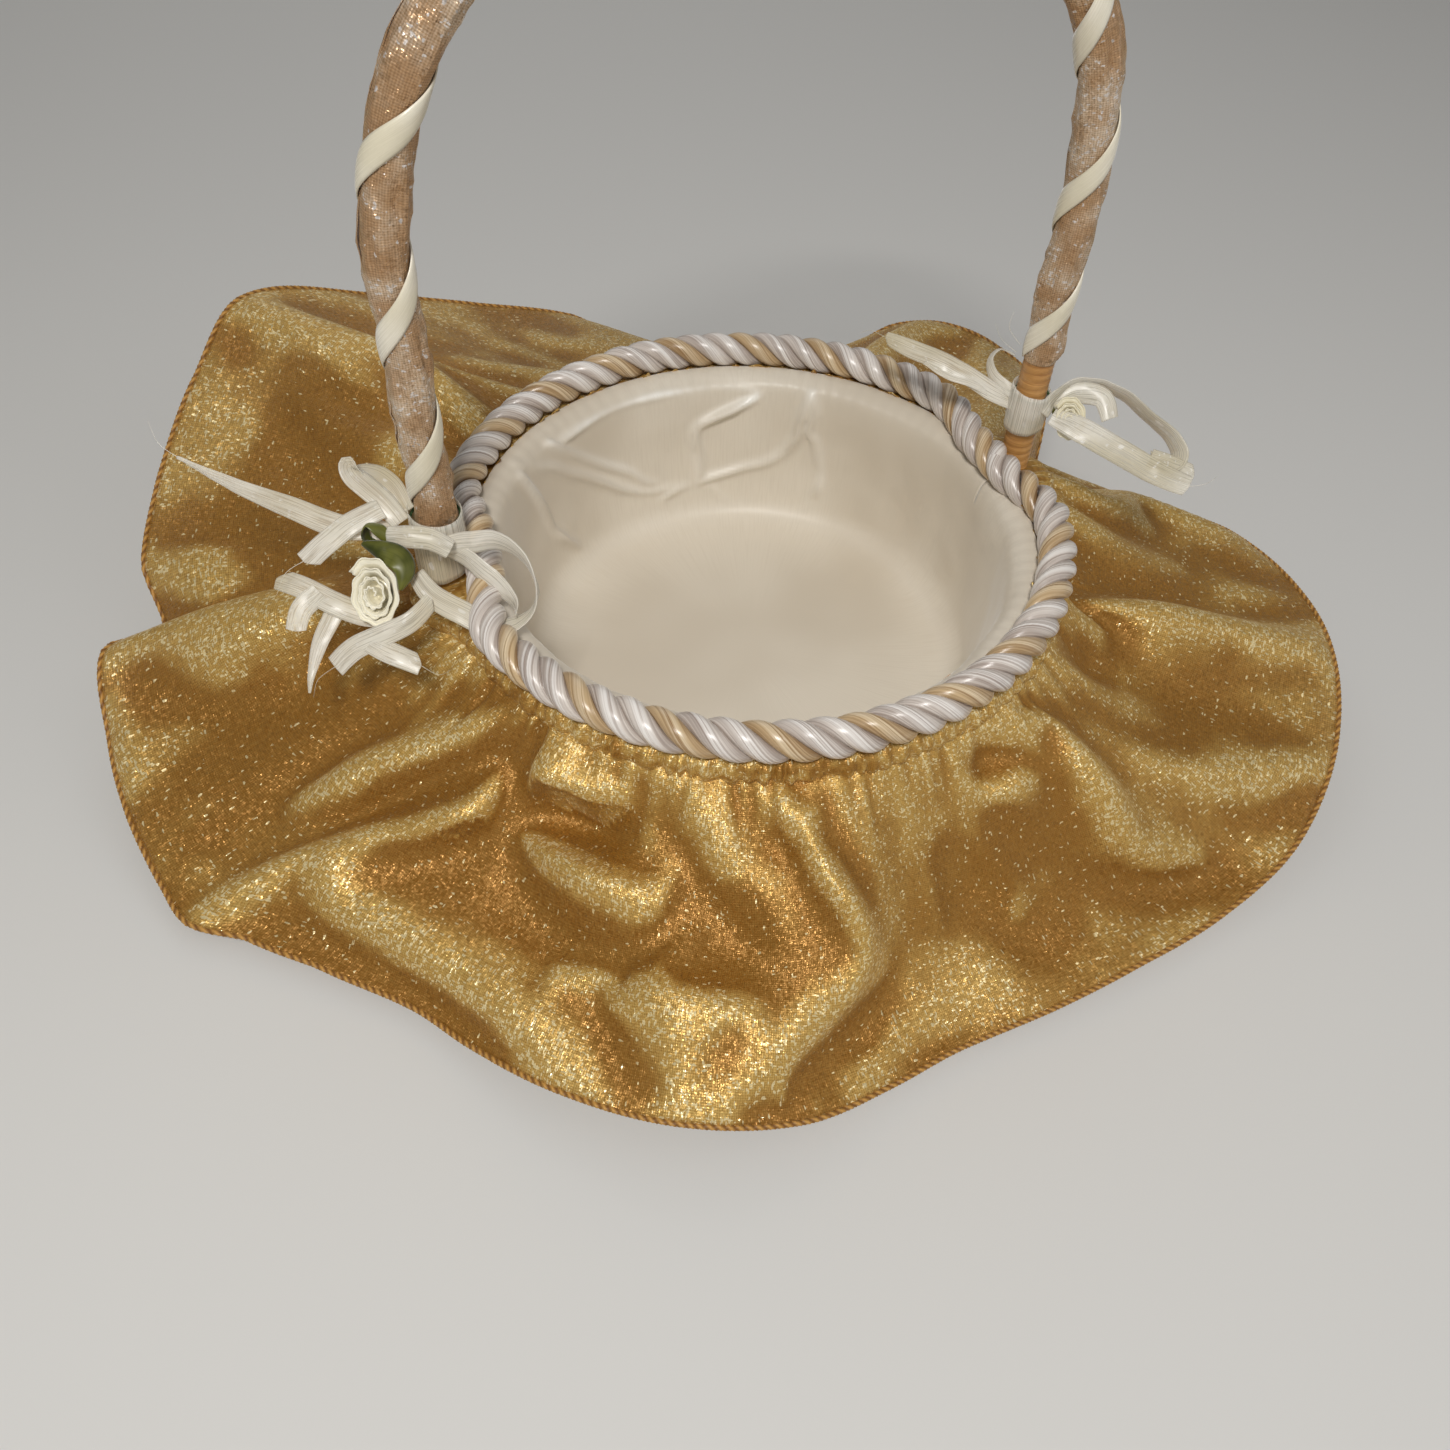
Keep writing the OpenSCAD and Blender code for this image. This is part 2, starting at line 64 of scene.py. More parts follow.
# ---- Small helpers


def linear(code: str) -> tuple[float, float, float, float]:
    """Turns an sRGB hex colour to linear light.

    Args:
        code: Six hex digits after a hash.

    Returns:
        Red, green, blue and an alpha of 1.
    """
    parts = [int(code[i : i + 2], 16) / 255 for i in (1, 3, 5)]
    red, green, blue = [p / 12.92 if p <= 0.04045 else ((p + 0.055) / 1.055) ** 2.4 for p in parts]
    return red, green, blue, 1.0


def spline(rows: Sequence[Row], t: float, closed: bool = False) -> list[float]:
    """Runs a smooth line through rows of numbers.

    Args:
        rows: Control rows of equal length.
        t: Place along the line, from 0 to 1.
        closed: True if the line returns to its first row.

    Returns:
        The row at that place.
    """
    n = len(rows)
    spans = n if closed else n - 1
    place = t * spans
    i = min(int(place), spans - 1) if not closed else int(math.floor(place))
    s = place - i

    def row(k: int) -> Row:
        """The control row with that number."""
        return rows[k % n] if closed else rows[min(max(k, 0), n - 1)]

    p, q, r, w = row(i - 1), row(i), row(i + 1), row(i + 2)
    return [
        0.5 * (2 * b + (c - a) * s + (2 * a - 5 * b + 4 * c - d) * s * s + (3 * b - a - 3 * c + d) * s**3)
        for a, b, c, d in zip(p, q, r, w)
    ]


def polar(r: float, degrees: float, z: float) -> Vector:
    """The point at a radius, an angle and a height, in millimetres."""
    a = math.radians(degrees)
    return Vector((r * math.cos(a), r * math.sin(a), z))


def round_noise(u: float, size: float, z: float) -> Vector:
    """A place on a ring, where a noise closes on itself after one way round."""
    return Vector((math.cos(math.tau * u) * size, math.sin(math.tau * u) * size, z))


def fade(x: float) -> float:
    """A smooth step from 0 at 0 to 1 at 1."""
    x = min(max(x, 0.0), 1.0)
    return x * x * (3 - 2 * x)


class Mesher:
    """Collects patches of one piece in a bmesh and turns them into an object."""

    def __init__(self, name: str) -> None:
        """Starts an empty mesh with a UV map.

        Args:
            name: The piece's name.
        """
        self.name = name
        self.bm = bmesh.new()
        self.uv = self.bm.loops.layers.uv.new("UVMap")

    def patch(self, counts: tuple[int, int], shape: Shape, size: tuple[float, float]) -> None:
        """Wraps a grid onto a surface.

        Args:
            counts: Faces across and along.
            shape: Gives the point in millimetres for a place from 0 to 1 across and along.
            size: Width and length that the UV map gives the patch, in millimetres.
        """
        made = bmesh.ops.create_grid(
            self.bm, x_segments=counts[0], y_segments=counts[1], size=0.5, calc_uvs=True
        )["verts"]
        for face in {f for v in made for f in v.link_faces}:
            for loop in face.loops:
                co = loop.vert.co
                loop[self.uv].uv = ((co.x + 0.5) * size[0] * MM, (co.y + 0.5) * size[1] * MM)
        for v in made:
            v.co = shape(v.co.x + 0.5, v.co.y + 0.5) * MM

    def finish(self, merge: bool = False, outwards: bool = False) -> bpy.types.Object:
        """Makes the object.

        Args:
            merge: Merges the seams and poles of closed patches.
            outwards: Turns the faces of closed patches outwards.

        Returns:
            The object, linked to the scene and shaded smooth.
        """
        if merge:
            bmesh.ops.remove_doubles(self.bm, verts=self.bm.verts, dist=MERGE * MM)
        if outwards:
            bmesh.ops.recalc_face_normals(self.bm, faces=self.bm.faces)
        mesh = bpy.data.meshes.new(self.name)
        self.bm.to_mesh(mesh)
        self.bm.free()
        mesh.shade_smooth()
        piece = bpy.data.objects.new(self.name, mesh)
        bpy.context.scene.collection.objects.link(piece)
        return piece


def thicken(piece: bpy.types.Object, thickness: float, offset: float = 0.0) -> None:
    """Gives a sheet its thickness.

    Args:
        piece: The sheet.
        thickness: Thickness in millimetres.
        offset: From -1, inwards, to 1, outwards.
    """
    wall = piece.modifiers.new("Thickness", "SOLIDIFY")
    wall.thickness = thickness * MM
    wall.offset = offset


def settle(piece: bpy.types.Object, finish: "Finish", slot: str, *nodes: str) -> bpy.types.Object:
    """Gives a new piece its finish and body, and hides the CAD nodes that it stands for.

    Args:
        piece: The finished object.
        finish: Its finish.
        slot: Not used.
        nodes: CAD nodes that are hidden behind it.

    Returns:
        The same object.
    """
    piece.data.materials.append(finish.material())
    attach(piece, BODY)
    if nodes:
        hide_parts(*nodes)
    stands_for = ", ".join(nodes) or "nothing"
    LOG.info("%s: %d faces, stands for %s", piece.name, len(piece.data.polygons), stands_for)
    return piece


# ---- Finishes


def add_node(
    tree: bpy.types.NodeTree, kind: str, inputs: dict[Any, Any] | None = None, **settings: Any
) -> Any:
    """Adds a node to a material.

    Args:
        tree: The material's node tree.
        kind: The node's type, without its "ShaderNode" prefix.
        inputs: A value or another node's output for each input, by name or number.
        settings: The node's own settings.

    Returns:
        The node.
    """
    made = tree.nodes.new("ShaderNode" + kind)
    for key, value in settings.items():
        setattr(made, key, value)
    for key, value in (inputs or {}).items():
        if isinstance(value, bpy.types.NodeSocket):
            tree.links.new(value, made.inputs[key])
        else:
            made.inputs[key].default_value = value
    return made


class Node(Enum):
    """The nodes that the finishes share: type, inputs in order, the output that is used, and settings."""

    STRETCH = ("Mapping", ("Vector", "Scale"), 0, {})
    CLOUD = ("TexNoise", ("Vector", "Scale", "Detail"), "Fac", {})
    # From a low and a high value to another low and high value, held at the ends
    SPAN = ("MapRange", ("Value", 1, 2, 3, 4), 0, {"interpolation_type": "SMOOTHSTEP"})
    BLEND = ("Mix", (0, 6, 7), 2, {"data_type": "RGBA"})
    BUMP = ("Bump", ("Height", "Distance", "Strength", "Normal"), 0, {})
    ADD = ("Math", (0, 1), 0, {"operation": "ADD"})
    SUBTRACT = ("Math", (0, 1), 0, {"operation": "SUBTRACT"})
    MULTIPLY = ("Math", (0, 1), 0, {"operation": "MULTIPLY"})
    MAXIMUM = ("Math", (0, 1), 0, {"operation": "MAXIMUM"})
    GREATER_THAN = ("Math", (0, 1), 0, {"operation": "GREATER_THAN"})
    OFFSET = ("VectorMath", (0, 1), 0, {"operation": "ADD"})
    DIFFERENCE = ("VectorMath", (0, 1), 0, {"operation": "SUBTRACT"})
    MULTIPLE = ("VectorMath", (0, "Scale"), 0, {"operation": "SCALE"})
    DIRECTION = ("VectorMath", (0,), 0, {"operation": "NORMALIZE"})


class Shader:
    """A material's nodes while a finish draws it."""

    def __init__(self, name: str) -> None:
        """Starts a material with its shader and output.

        Args:
            name: The material's name.
        """
        self.result = bpy.data.materials.new(name)
        self.result.use_nodes = True
        self.tree = self.result.node_tree
        self.tree.nodes.clear()
        self.main = self.node("BsdfPrincipled")
        self.node("OutputMaterial", {"Surface": self.main.outputs[0]})
        place = self.node("TexCoord")
        self.uv = place.outputs["UV"]
        self.object = place.outputs["Object"]

    def node(self, kind: str, inputs: dict[Any, Any] | None = None, **settings: Any) -> Any:
        """Adds a node to this material."""
        return add_node(self.tree, kind, inputs, **settings)

    def add(self, node: Node, *values: Any) -> Any:
        """Adds one of the nodes that the finishes share.

        Args:
            node: The node.
            values: A number, hex code, vector or socket for each of its inputs, in order.

        Returns:
            The output that is used.
        """
        kind, inputs, output, settings = node.value
        given = [linear(value) if isinstance(value, str) else value for value in values]
        return self.node(kind, dict(zip(inputs, given)), **settings).outputs[output]

    def mean(self, a: Any, b: Any, share: float) -> Any:
        """Adds two numbers, the first with that share and the second with the rest."""
        first, second = self.add(Node.MULTIPLY, a, share), self.add(Node.MULTIPLY, b, 1 - share)
        return self.add(Node.ADD, first, second)

    def set(self, **values: Any) -> None:
        """Sets inputs of the main shader.

        Args:
            values: A number, hex code or socket for each input; an underscore stands for a space.
        """
        for key, value in values.items():
            socket = self.main.inputs[key.replace("_", " ")]
            if isinstance(value, bpy.types.NodeSocket):
                self.tree.links.new(value, socket)
            else:
                socket.default_value = linear(value) if isinstance(value, str) else value


@dataclass(frozen=True)
class Finish:
    """A finish: draw() adds its nodes, and material() makes it once."""

    name: str = "plain"
    made: ClassVar[dict[str, bpy.types.Material]] = {}

    def draw(self, shader: Shader) -> None:
        """Adds this finish's nodes to the shader."""

    def material(self) -> bpy.types.Material:
        """Makes the finish's material the first time that it is asked for.

        Returns:
            The material.
        """
        if self.name not in Finish.made:
            shader = Shader(self.name)
            self.draw(shader)
            Finish.made[self.name] = shader.result
        return Finish.made[self.name]


@dataclass(frozen=True)
class SheerOrganza(Finish):
    """Metallic organza: a crisp sheer weave whose flat threads catch the light one by one, through tilted
    facets and through glints painted into its colour.

    The colour has a smooth amber painted shade in the hollows and a cloud of pale gold painted glints on the
    folds.
    """

    name: str = "gold_metallic_organza"
    hollow_shade: str = "#A06C22"  # painted shade in the hollows
    body: str = "#C39342"
    # painted highlight on the raised folds, along the thread lines and glint cells
    fold_highlight: str = "#E2BF70"
    # painted glints: the colour of the sparks
    painted_glint: str = "#FFEDB8"
    clearness: float = 0.14
    grain: float = 0.46  # width of a spark, drawn two threads wide so that it shows
    dash: float = 2.2  # length of a spark along its thread, as a multiple of its width
    thread: float = 0.66  # drawn at twice the real pitch so that it shows
    tilt: float = 0.4  # how far each thread's facet leans
    metal: float = 0.4

    def draw(self, shader: Shader) -> None:
        """Adds thread lines, painted glints (sparks) along both threads, a painted highlight on the folds,
        and painted amber shade away from the folds.

        Args:
            shader: The material's nodes.
        """
        add = shader.add
        fine, long = 1000 / self.grain, 1000 / self.grain / self.dash
        warps, wefts = [
            shader.node("TexVoronoi", {"Vector": add(Node.STRETCH, shader.uv, size), "Scale": 1.0})
            for size in ((fine, long, 1.0), (long, fine, 1.0))
        ]
        chances = [shader.node("SeparateColor", {0: cells.outputs["Color"]}) for cells in (warps, wefts)]
        lines = [
            shader.node(
                "TexWave", {"Vector": shader.uv, "Scale": WAVE / self.thread, "Distortion": 0.6,
                            "Detail": 1.0, "Detail Scale": 2.0},
                bands_direction=way,
            ).outputs["Fac"]
            for way in ("X", "Y")
        ]
        weave = add(Node.MULTIPLY, add(Node.ADD, *lines), 0.5)
        fold = shader.node("Attribute", attribute_name="fold").outputs["Fac"]
        drift = add(Node.CLOUD, shader.object, 34.0, 3.0)
        # place: fold height plus a random drift; it sets the painted shade and highlights below
        place = add(Node.ADD, fold, add(Node.SPAN, drift, 0.3, 0.7, -0.28, 0.28))
        # painted shade: the hollow colour where place is low, the body colour where it is high
        cloth = add(Node.BLEND, add(Node.SPAN, place, 0.05, 0.9), self.hollow_shade, self.body)
        # painted highlight: the thread lines turn brighter on the raised folds
        threads = add(Node.MULTIPLY, weave, add(Node.SPAN, place, 0.15, 0.9, 0.12, 0.8))
        cloth = add(Node.BLEND, threads, cloth, self.fold_highlight)
        # painted glints: bright cells, more of them on the raised folds
        glint = add(Node.MULTIPLY, chances[0].outputs[1], chances[1].outputs[1])
        glint = add(Node.MULTIPLY, glint, add(Node.SPAN, place, 0.2, 0.95, 0.15, 1.0))
        cloth = add(Node.BLEND, glint, cloth, self.fold_highlight)
        # painted glints: sparks, rare in the hollows and common on the folds
        rare = add(Node.SPAN, place, 0.2, 1.0, 0.993, 0.87)
        sparks = [add(Node.GREATER_THAN, chance.outputs[0], rare) for chance in chances]
        painted_glint = add(Node.MULTIPLY, add(Node.MAXIMUM, *sparks), 0.85)
        colour = add(Node.BLEND, painted_glint, cloth, self.painted_glint)
        facing = shader.node("NewGeometry").outputs["Normal"]
        lean = add(Node.DIFFERENCE, warps.outputs["Color"], wefts.outputs["Color"])
        facing = add(Node.DIRECTION, add(Node.OFFSET, facing, add(Node.MULTIPLE, lean, self.tilt)))
        rough = add(Node.SPAN, chances[0].outputs[2], 0.3, 1.0, 0.5, 0.27)
        shader.set(
            Base_Color=colour, Roughness=rough, Metallic=self.metal, Sheen_Weight=0.15, Sheen_Roughness=0.35,
            Sheen_Tint="#FFE0A0", Normal=add(Node.BUMP, weave, 0.1 * MM, 0.4, facing),
            Alpha=add(Node.SPAN, weave, 0.0, 1.0, 1 - self.clearness * 1.5, 1 - self.clearness * 0.5),
        )


@dataclass(frozen=True)
class OverlockedEdge(Finish):
    """A rolled hem under close overlock stitches: darker and redder than the sheer cloth beside it."""

    name: str = "overlocked_gold_hem"
    valley: str = "#7A4E18"
    ridge: str = "#C9964A"
    stitch: float = 1.3

    def draw(self, shader: Shader) -> None:
        """Adds slanted stitches along the edge.

        Args:
            shader: The material's nodes.
        """
        add = shader.add
        stitches = shader.node(
            "TexWave", {"Vector": shader.uv, "Scale": WAVE / self.stitch, "Distortion": 0.8, "Detail": 1.0},
            bands_direction="DIAGONAL",
        ).outputs["Fac"]
        shader.set(
            Base_Color=add(Node.BLEND, stitches, self.valley, self.ridge), Roughness=0.55, Sheen_Weight=0.3,
            Sheen_Tint="#FFE0A0", Normal=add(Node.BUMP, stitches, 0.25 * MM, 0.8),
        )


@dataclass(frozen=True)
class TwistedRayon(Finish):
    """A strand of rayon filaments laid side by side, silky, with a painted highlight along its crown and
    painted shade where it meets the other strands.
    """

    name: str = "lilac_white_rayon_strand"
    valley: str = "#9C8C82"
    crown: str = "#E2D9D0"
    # painted shade on the inner side, where the strand meets the others
    depth: str = "#7F6A5B"
    # painted highlight along the crown
    crown_highlight: str = "#FDFAF6"
    filament: float = 0.45

    def draw(self, shader: Shader) -> None:
        """Adds filaments along the strand, a slow change of tone between them, painted shade on the inner
        side and a painted highlight along the crown.

        Args:
            shader: The material's nodes.
        """
        add = shader.add
        lines = add(Node.CLOUD, add(Node.STRETCH, shader.uv, (1000 / self.filament, 22.0, 1.0)), 1.0, 3.0)
        tone = add(Node.CLOUD, add(Node.STRETCH, shader.uv, (260.0, 60.0, 1.0)), 1.0, 1.0)
        both = shader.mean(lines, tone, 0.65)
        outer = shader.node("Attribute", attribute_name="outer").outputs["Fac"]
        colour = add(Node.BLEND, add(Node.SPAN, both, 0.3, 0.68), self.valley, self.crown)
        # painted shade: the inner side, where outer is low, takes the depth colour
        colour = add(Node.BLEND, add(Node.SPAN, outer, 0.2, 0.75), self.depth, colour)
        # painted highlight: the outermost line takes the highlight colour
        crest = add(Node.SPAN, outer, 0.86, 1.0, 0.0, 0.6)
        crown_highlight = add(Node.MULTIPLY, crest, add(Node.SPAN, lines, 0.35, 0.6))
        shader.set(
            Base_Color=add(Node.BLEND, crown_highlight, colour, self.crown_highlight), Roughness=0.3,
            Sheen_Weight=0.2, Sheen_Roughness=0.3, Coat_Weight=0.4, Coat_Roughness=0.26,
            Normal=add(Node.BUMP, lines, 0.2 * MM, 0.8),
        )


@dataclass(frozen=True)
class PolyesterSatin(Finish):
    """Satin: long floats on the face give a smooth, slightly streaked gloss, stronger along every narrow
    crease, where a highlight is also painted.
    """

    name: str = "ivory_polyester_satin"
    shade: str = "#D2C7B5"
    light: str = "#E0D7C7"
    rough: float = 0.45
    float_line: float = 0.5  # width of a float; drawn several threads wide so that it shows
    clearness: float = 0.0
    streak: float = 0.05  # change of roughness between floats
    painted_glints: float = 0.0  # share of small cells painted as glints
    cloud_scale: float = 16.0
    cell: float = 0.7  # width of a painted glint cell

    def draw(self, shader: Shader) -> None:
        """Adds floats along the cloth, cloudy tone, painted glints where they are asked for, a painted
        highlight on the creases and, where it is sheer, open weave.

        Args:
            shader: The material's nodes.
        """
        add = shader.add
        floats = add(Node.CLOUD, add(Node.STRETCH, shader.uv, (1000 / self.float_line, 90.0, 1.0)), 1.0, 2.0)
        cloudy = add(Node.CLOUD, shader.object, self.cloud_scale, 2.0)
        patches = add(Node.SPAN, cloudy, 0.35, 0.65)
        tone = add(Node.MULTIPLY, patches, add(Node.SPAN, floats, 0.3, 0.6, 0.7, 1.0))
        # painted glints: a share of small cells takes the light colour
        if self.painted_glints:
            cells = shader.node("TexVoronoi", {"Vector": shader.uv, "Scale": 1000 / self.cell})
            chance = shader.node("SeparateColor", {0: cells.outputs["Color"]}).outputs[0]
            tone = add(Node.ADD, tone, add(Node.GREATER_THAN, chance, 1 - self.painted_glints))
        # painted highlight: near the narrow creases the colour turns near white, and the roughness drops
        ridge = shader.node("Attribute", attribute_name="crease").outputs["Fac"]
        rough = add(Node.SPAN, floats, 0.3, 0.7, self.rough - self.streak, self.rough + self.streak)
        shader.set(
            Base_Color=add(Node.BLEND, ridge, add(Node.BLEND, tone, self.shade, self.light), "#FFFDF6"),
            Roughness=add(Node.SUBTRACT, rough, add(Node.MULTIPLY, ridge, 0.2)),
            Sheen_Weight=0.3, Sheen_Roughness=0.35, Anisotropic=0.35,
            Normal=add(Node.BUMP, floats, 0.03 * MM, 0.25),
        )
        if self.clearness:
            shader.set(Alpha=add(Node.SPAN, floats, 0.3, 0.6, 1 - self.clearness, 1 - self.clearness * 0.5))


@dataclass(frozen=True)
class SplitCane(Finish):
    """Split cane or rattan reed: long pores, a faint gloss and, on a binding, darker lines where the laps
    meet.
    """

    name: str = "split_cane_binding"
    dark: str = "#A97238"
    light: str = "#D9A766"
    rough: float = 0.42
    pore: float = 0.35
    wound: bool = False  # True for a binding, whose laps meet in dark lines

    def draw(self, shader: Shader) -> None:
        """Adds pores along the cane and dark lines where the laps meet.

        Args:
            shader: The material's nodes.
        """
        add = shader.add
        where = shader.uv if self.wound else shader.object
        across = 1000 / self.pore
        pores = add(Node.CLOUD, add(Node.STRETCH, where, (60.0, across, across)), 1.0, 3.0)
        patches = add(Node.CLOUD, shader.object, 45.0, 3.0)
        tone = shader.mean(pores, patches, 0.5)
        colour = add(Node.BLEND, add(Node.SPAN, tone, 0.32, 0.66), self.dark, self.light)
        if self.wound:
            meet = shader.node("Attribute", attribute_name="lap").outputs["Fac"]
            colour = add(Node.BLEND, add(Node.MULTIPLY, meet, 0.6), colour, "#7C4A1E")
        shader.set(
            Base_Color=colour, Roughness=add(Node.SPAN, pores, 0.3, 0.7, self.rough - 0.08, self.rough + 0.1),
            Coat_Weight=0.2, Coat_Roughness=0.3, Normal=add(Node.BUMP, pores, 0.12 * MM, 0.6),
        )


@dataclass(frozen=True)
class BentWood(Finish):
    """Steam-bent poplar hoops and board: pale, with straight grain and fine pores."""

    name: str = "bare_poplar"
    dark: str = "#A97B4A"
    light: str = "#D1AA76"
    grain: float = 1.4

    def draw(self, shader: Shader) -> None:
        """Adds grain lines across the board and pores along them.

        Args:
            shader: The material's nodes.
        """
        add = shader.add
        rings = shader.node(
            "TexWave", {"Vector": shader.object, "Scale": WAVE / self.grain, "Distortion": 5.0, "Detail": 3.0,
                        "Detail Scale": 0.6},
            bands_direction="Y",
        ).outputs["Fac"]
        pores = add(Node.CLOUD, add(Node.STRETCH, shader.object, (120.0, 2200.0, 2200.0)), 1.0, 2.0)
        tone = shader.mean(rings, pores, 0.55)
        shader.set(
            Base_Color=add(Node.BLEND, tone, self.dark, self.light), Roughness=0.62,
            Normal=add(Node.BUMP, pores, 0.1 * MM, 0.5),
        )


@dataclass(frozen=True)
class PlatedSteel(Finish):
    """Brassed wire nails: a warm metal with a drawn, slightly scuffed skin."""

    name: str = "brass_plated_nail"
    colour: str = "#D8B565"

    def draw(self, shader: Shader) -> None:
        """Adds scuffs in the roughness.

        Args:
            shader: The material's nodes.
        """
        add = shader.add
        scuffs = add(Node.CLOUD, shader.object, 900.0, 4.0)
        rough = add(Node.SPAN, scuffs, 0.3, 0.7, 0.22, 0.45)
        shader.set(Base_Color=self.colour, Metallic=1.0, Roughness=rough)


@dataclass(frozen=True)
class Pulp(Finish):
    """Grey board, wadding or crepe paper: matt, with short fibres."""

    name: str = "grey_board"
    dark: str = "#8E897F"
    light: str = "#B3AEA3"
    fibre: float = 1.5

    def draw(self, shader: Shader) -> None:
        """Adds fibres as a fine noise.

        Args:
            shader: The material's nodes.
        """
        add = shader.add
        fibres = add(Node.CLOUD, shader.object, 1000 / self.fibre, 4.0)
        shader.set(
            Base_Color=add(Node.BLEND, fibres, self.dark, self.light), Roughness=0.85,
            Normal=add(Node.BUMP, fibres, 0.2 * MM, 0.4),
        )


@dataclass(frozen=True)
class Backdrop(Finish):
    """Plain pale floor."""

    name: str = "pale_floor"
    colour: str = "#DAD9D6"

    def draw(self, shader: Shader) -> None:
        """Sets one colour."""
        shader.set(Base_Color=self.colour, Roughness=0.85)


ORGANZA = SheerOrganza()
HEM = OverlockedEdge()
WHITE_STRAND = TwistedRayon()
# Colours: valley, crown, painted shade on the inner side, painted highlight on the crown
GOLD_STRAND = TwistedRayon("champagne_rayon_strand", "#8F6D45", "#D2B78E", "#664525", "#F0DFC0")
LINING = PolyesterSatin()
# 0.03 is the ribbon's share of painted glints
RIBBON = PolyesterSatin("narrow_ivory_satin_ribbon", "#D8CFB4", "#F7F3E8", 0.3, 0.3, 0.62, 0.1, 0.03, 30.0)
WRAP_RIBBON = PolyesterSatin("ivory_satin_wrap_ribbon", "#DED6BE", "#F1EBDA", 0.26, 0.3, cloud_scale=60.0)
BUD = PolyesterSatin("rosebud_satin", "#E6DDBE", "#FAF5E2", 0.3, 0.5)
LEAF = PolyesterSatin("leaf_satin", "#343A0C", "#6B6C2A", 0.36, 0.4, cloud_scale=150.0)
# Colours: painted shade in the hollows, body, painted highlight on the folds, painted glints
HANDLE_ORGANZA = SheerOrganza(
    "iridescent_handle_organza", "#C79C6E", "#E0C09A", "#F4E4CF", "#FFFAF6", 0.3, 0.4, 1.6, 0.5, 0.4, 0.45
)
CANE = SplitCane(wound=True)
LASHING = SplitCane("split_cane_strip")
REED = SplitCane("round_rattan_reed", "#A8713A", "#D8A96C", 0.55, 0.4)
WOOD = BentWood()
NAIL = PlatedSteel()
CARD = Pulp()
WADDING = Pulp("polyester_wadding", "#DAD8D2", "#F2F0EC", 2.5)
WIRE = Pulp("paper_covered_wire", "#274220", "#3C5A30", 0.8)


class Carried(Enum):
    """CAD nodes that stay in sight, and the finish that each gets."""

    FOOT_RING = ("foot_ring", WOOD)
    BASE_BOARD = ("base_board", WOOD)
    BASE_TACKS = ("base_tacks", NAIL)
    STAKES = ("stakes", REED)
    WEAVERS = ("weavers", REED)
    HOOP_INNER = ("rim_hoop_inner", WOOD)
    HOOP_OUTER = ("rim_hoop_outer", WOOD)
    LASHINGS = ("rim_lashings", LASHING)
    CORE = ("handle_core", REED)
    BRADS = ("handle_brads", NAIL)
    TIES = ("handle_ties", LASHING)
    FLOOR_CARD = ("floor_card", CARD)
    LEFT_WIRE = ("left_bow_wire", WIRE)
    RIGHT_WIRE = ("right_bow_wire", WIRE)

    def dress(self) -> None:
        """Puts the finish in every material slot of the node's object."""
        node, finish = self.value
        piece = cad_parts[node]
        for slot in piece.material_slots:
            slot.material = finish.material()
        if not piece.material_slots:
            piece.data.materials.append(finish.material())
        LOG.info("%s: CAD shape with %s", node, finish.name)


# ---- The basket's shared lines


@dataclass(frozen=True)
class Rim:
    """Sizes that the trim, the handle and the bows share."""

    leg_angle: float = 4.43  # of the right leg, seen from the middle
    leg_x: float = 77.52
    shift: float = 6.0  # the legs stand this far behind the middle
    arch_z: float = 137.5  # where the arch starts to bend
    cord_z: float = 65.7
    cord_r: float = 75.4
    dip: float = 6.7  # how far the cord gives way to a leg
    heading_r: float = 76.25

    def near_leg(self, degrees: float, flat: float, reach: float) -> float:
        """How close an angle is to a leg's.

        Args:
            degrees: The angle round the basket.
            flat: Half the angle over which the answer is 1.
            reach: Half the angle beyond which it is 0.

        Returns:
            A share from 0 to 1.
        """
        b = (degrees + 90) % 360 - 90
        away = min(abs(b - self.leg_angle), abs(b - 180 + self.leg_angle))
        return 1 - fade((away - flat) / (reach - flat))


RIM = Rim()


# ---- Padding and lining


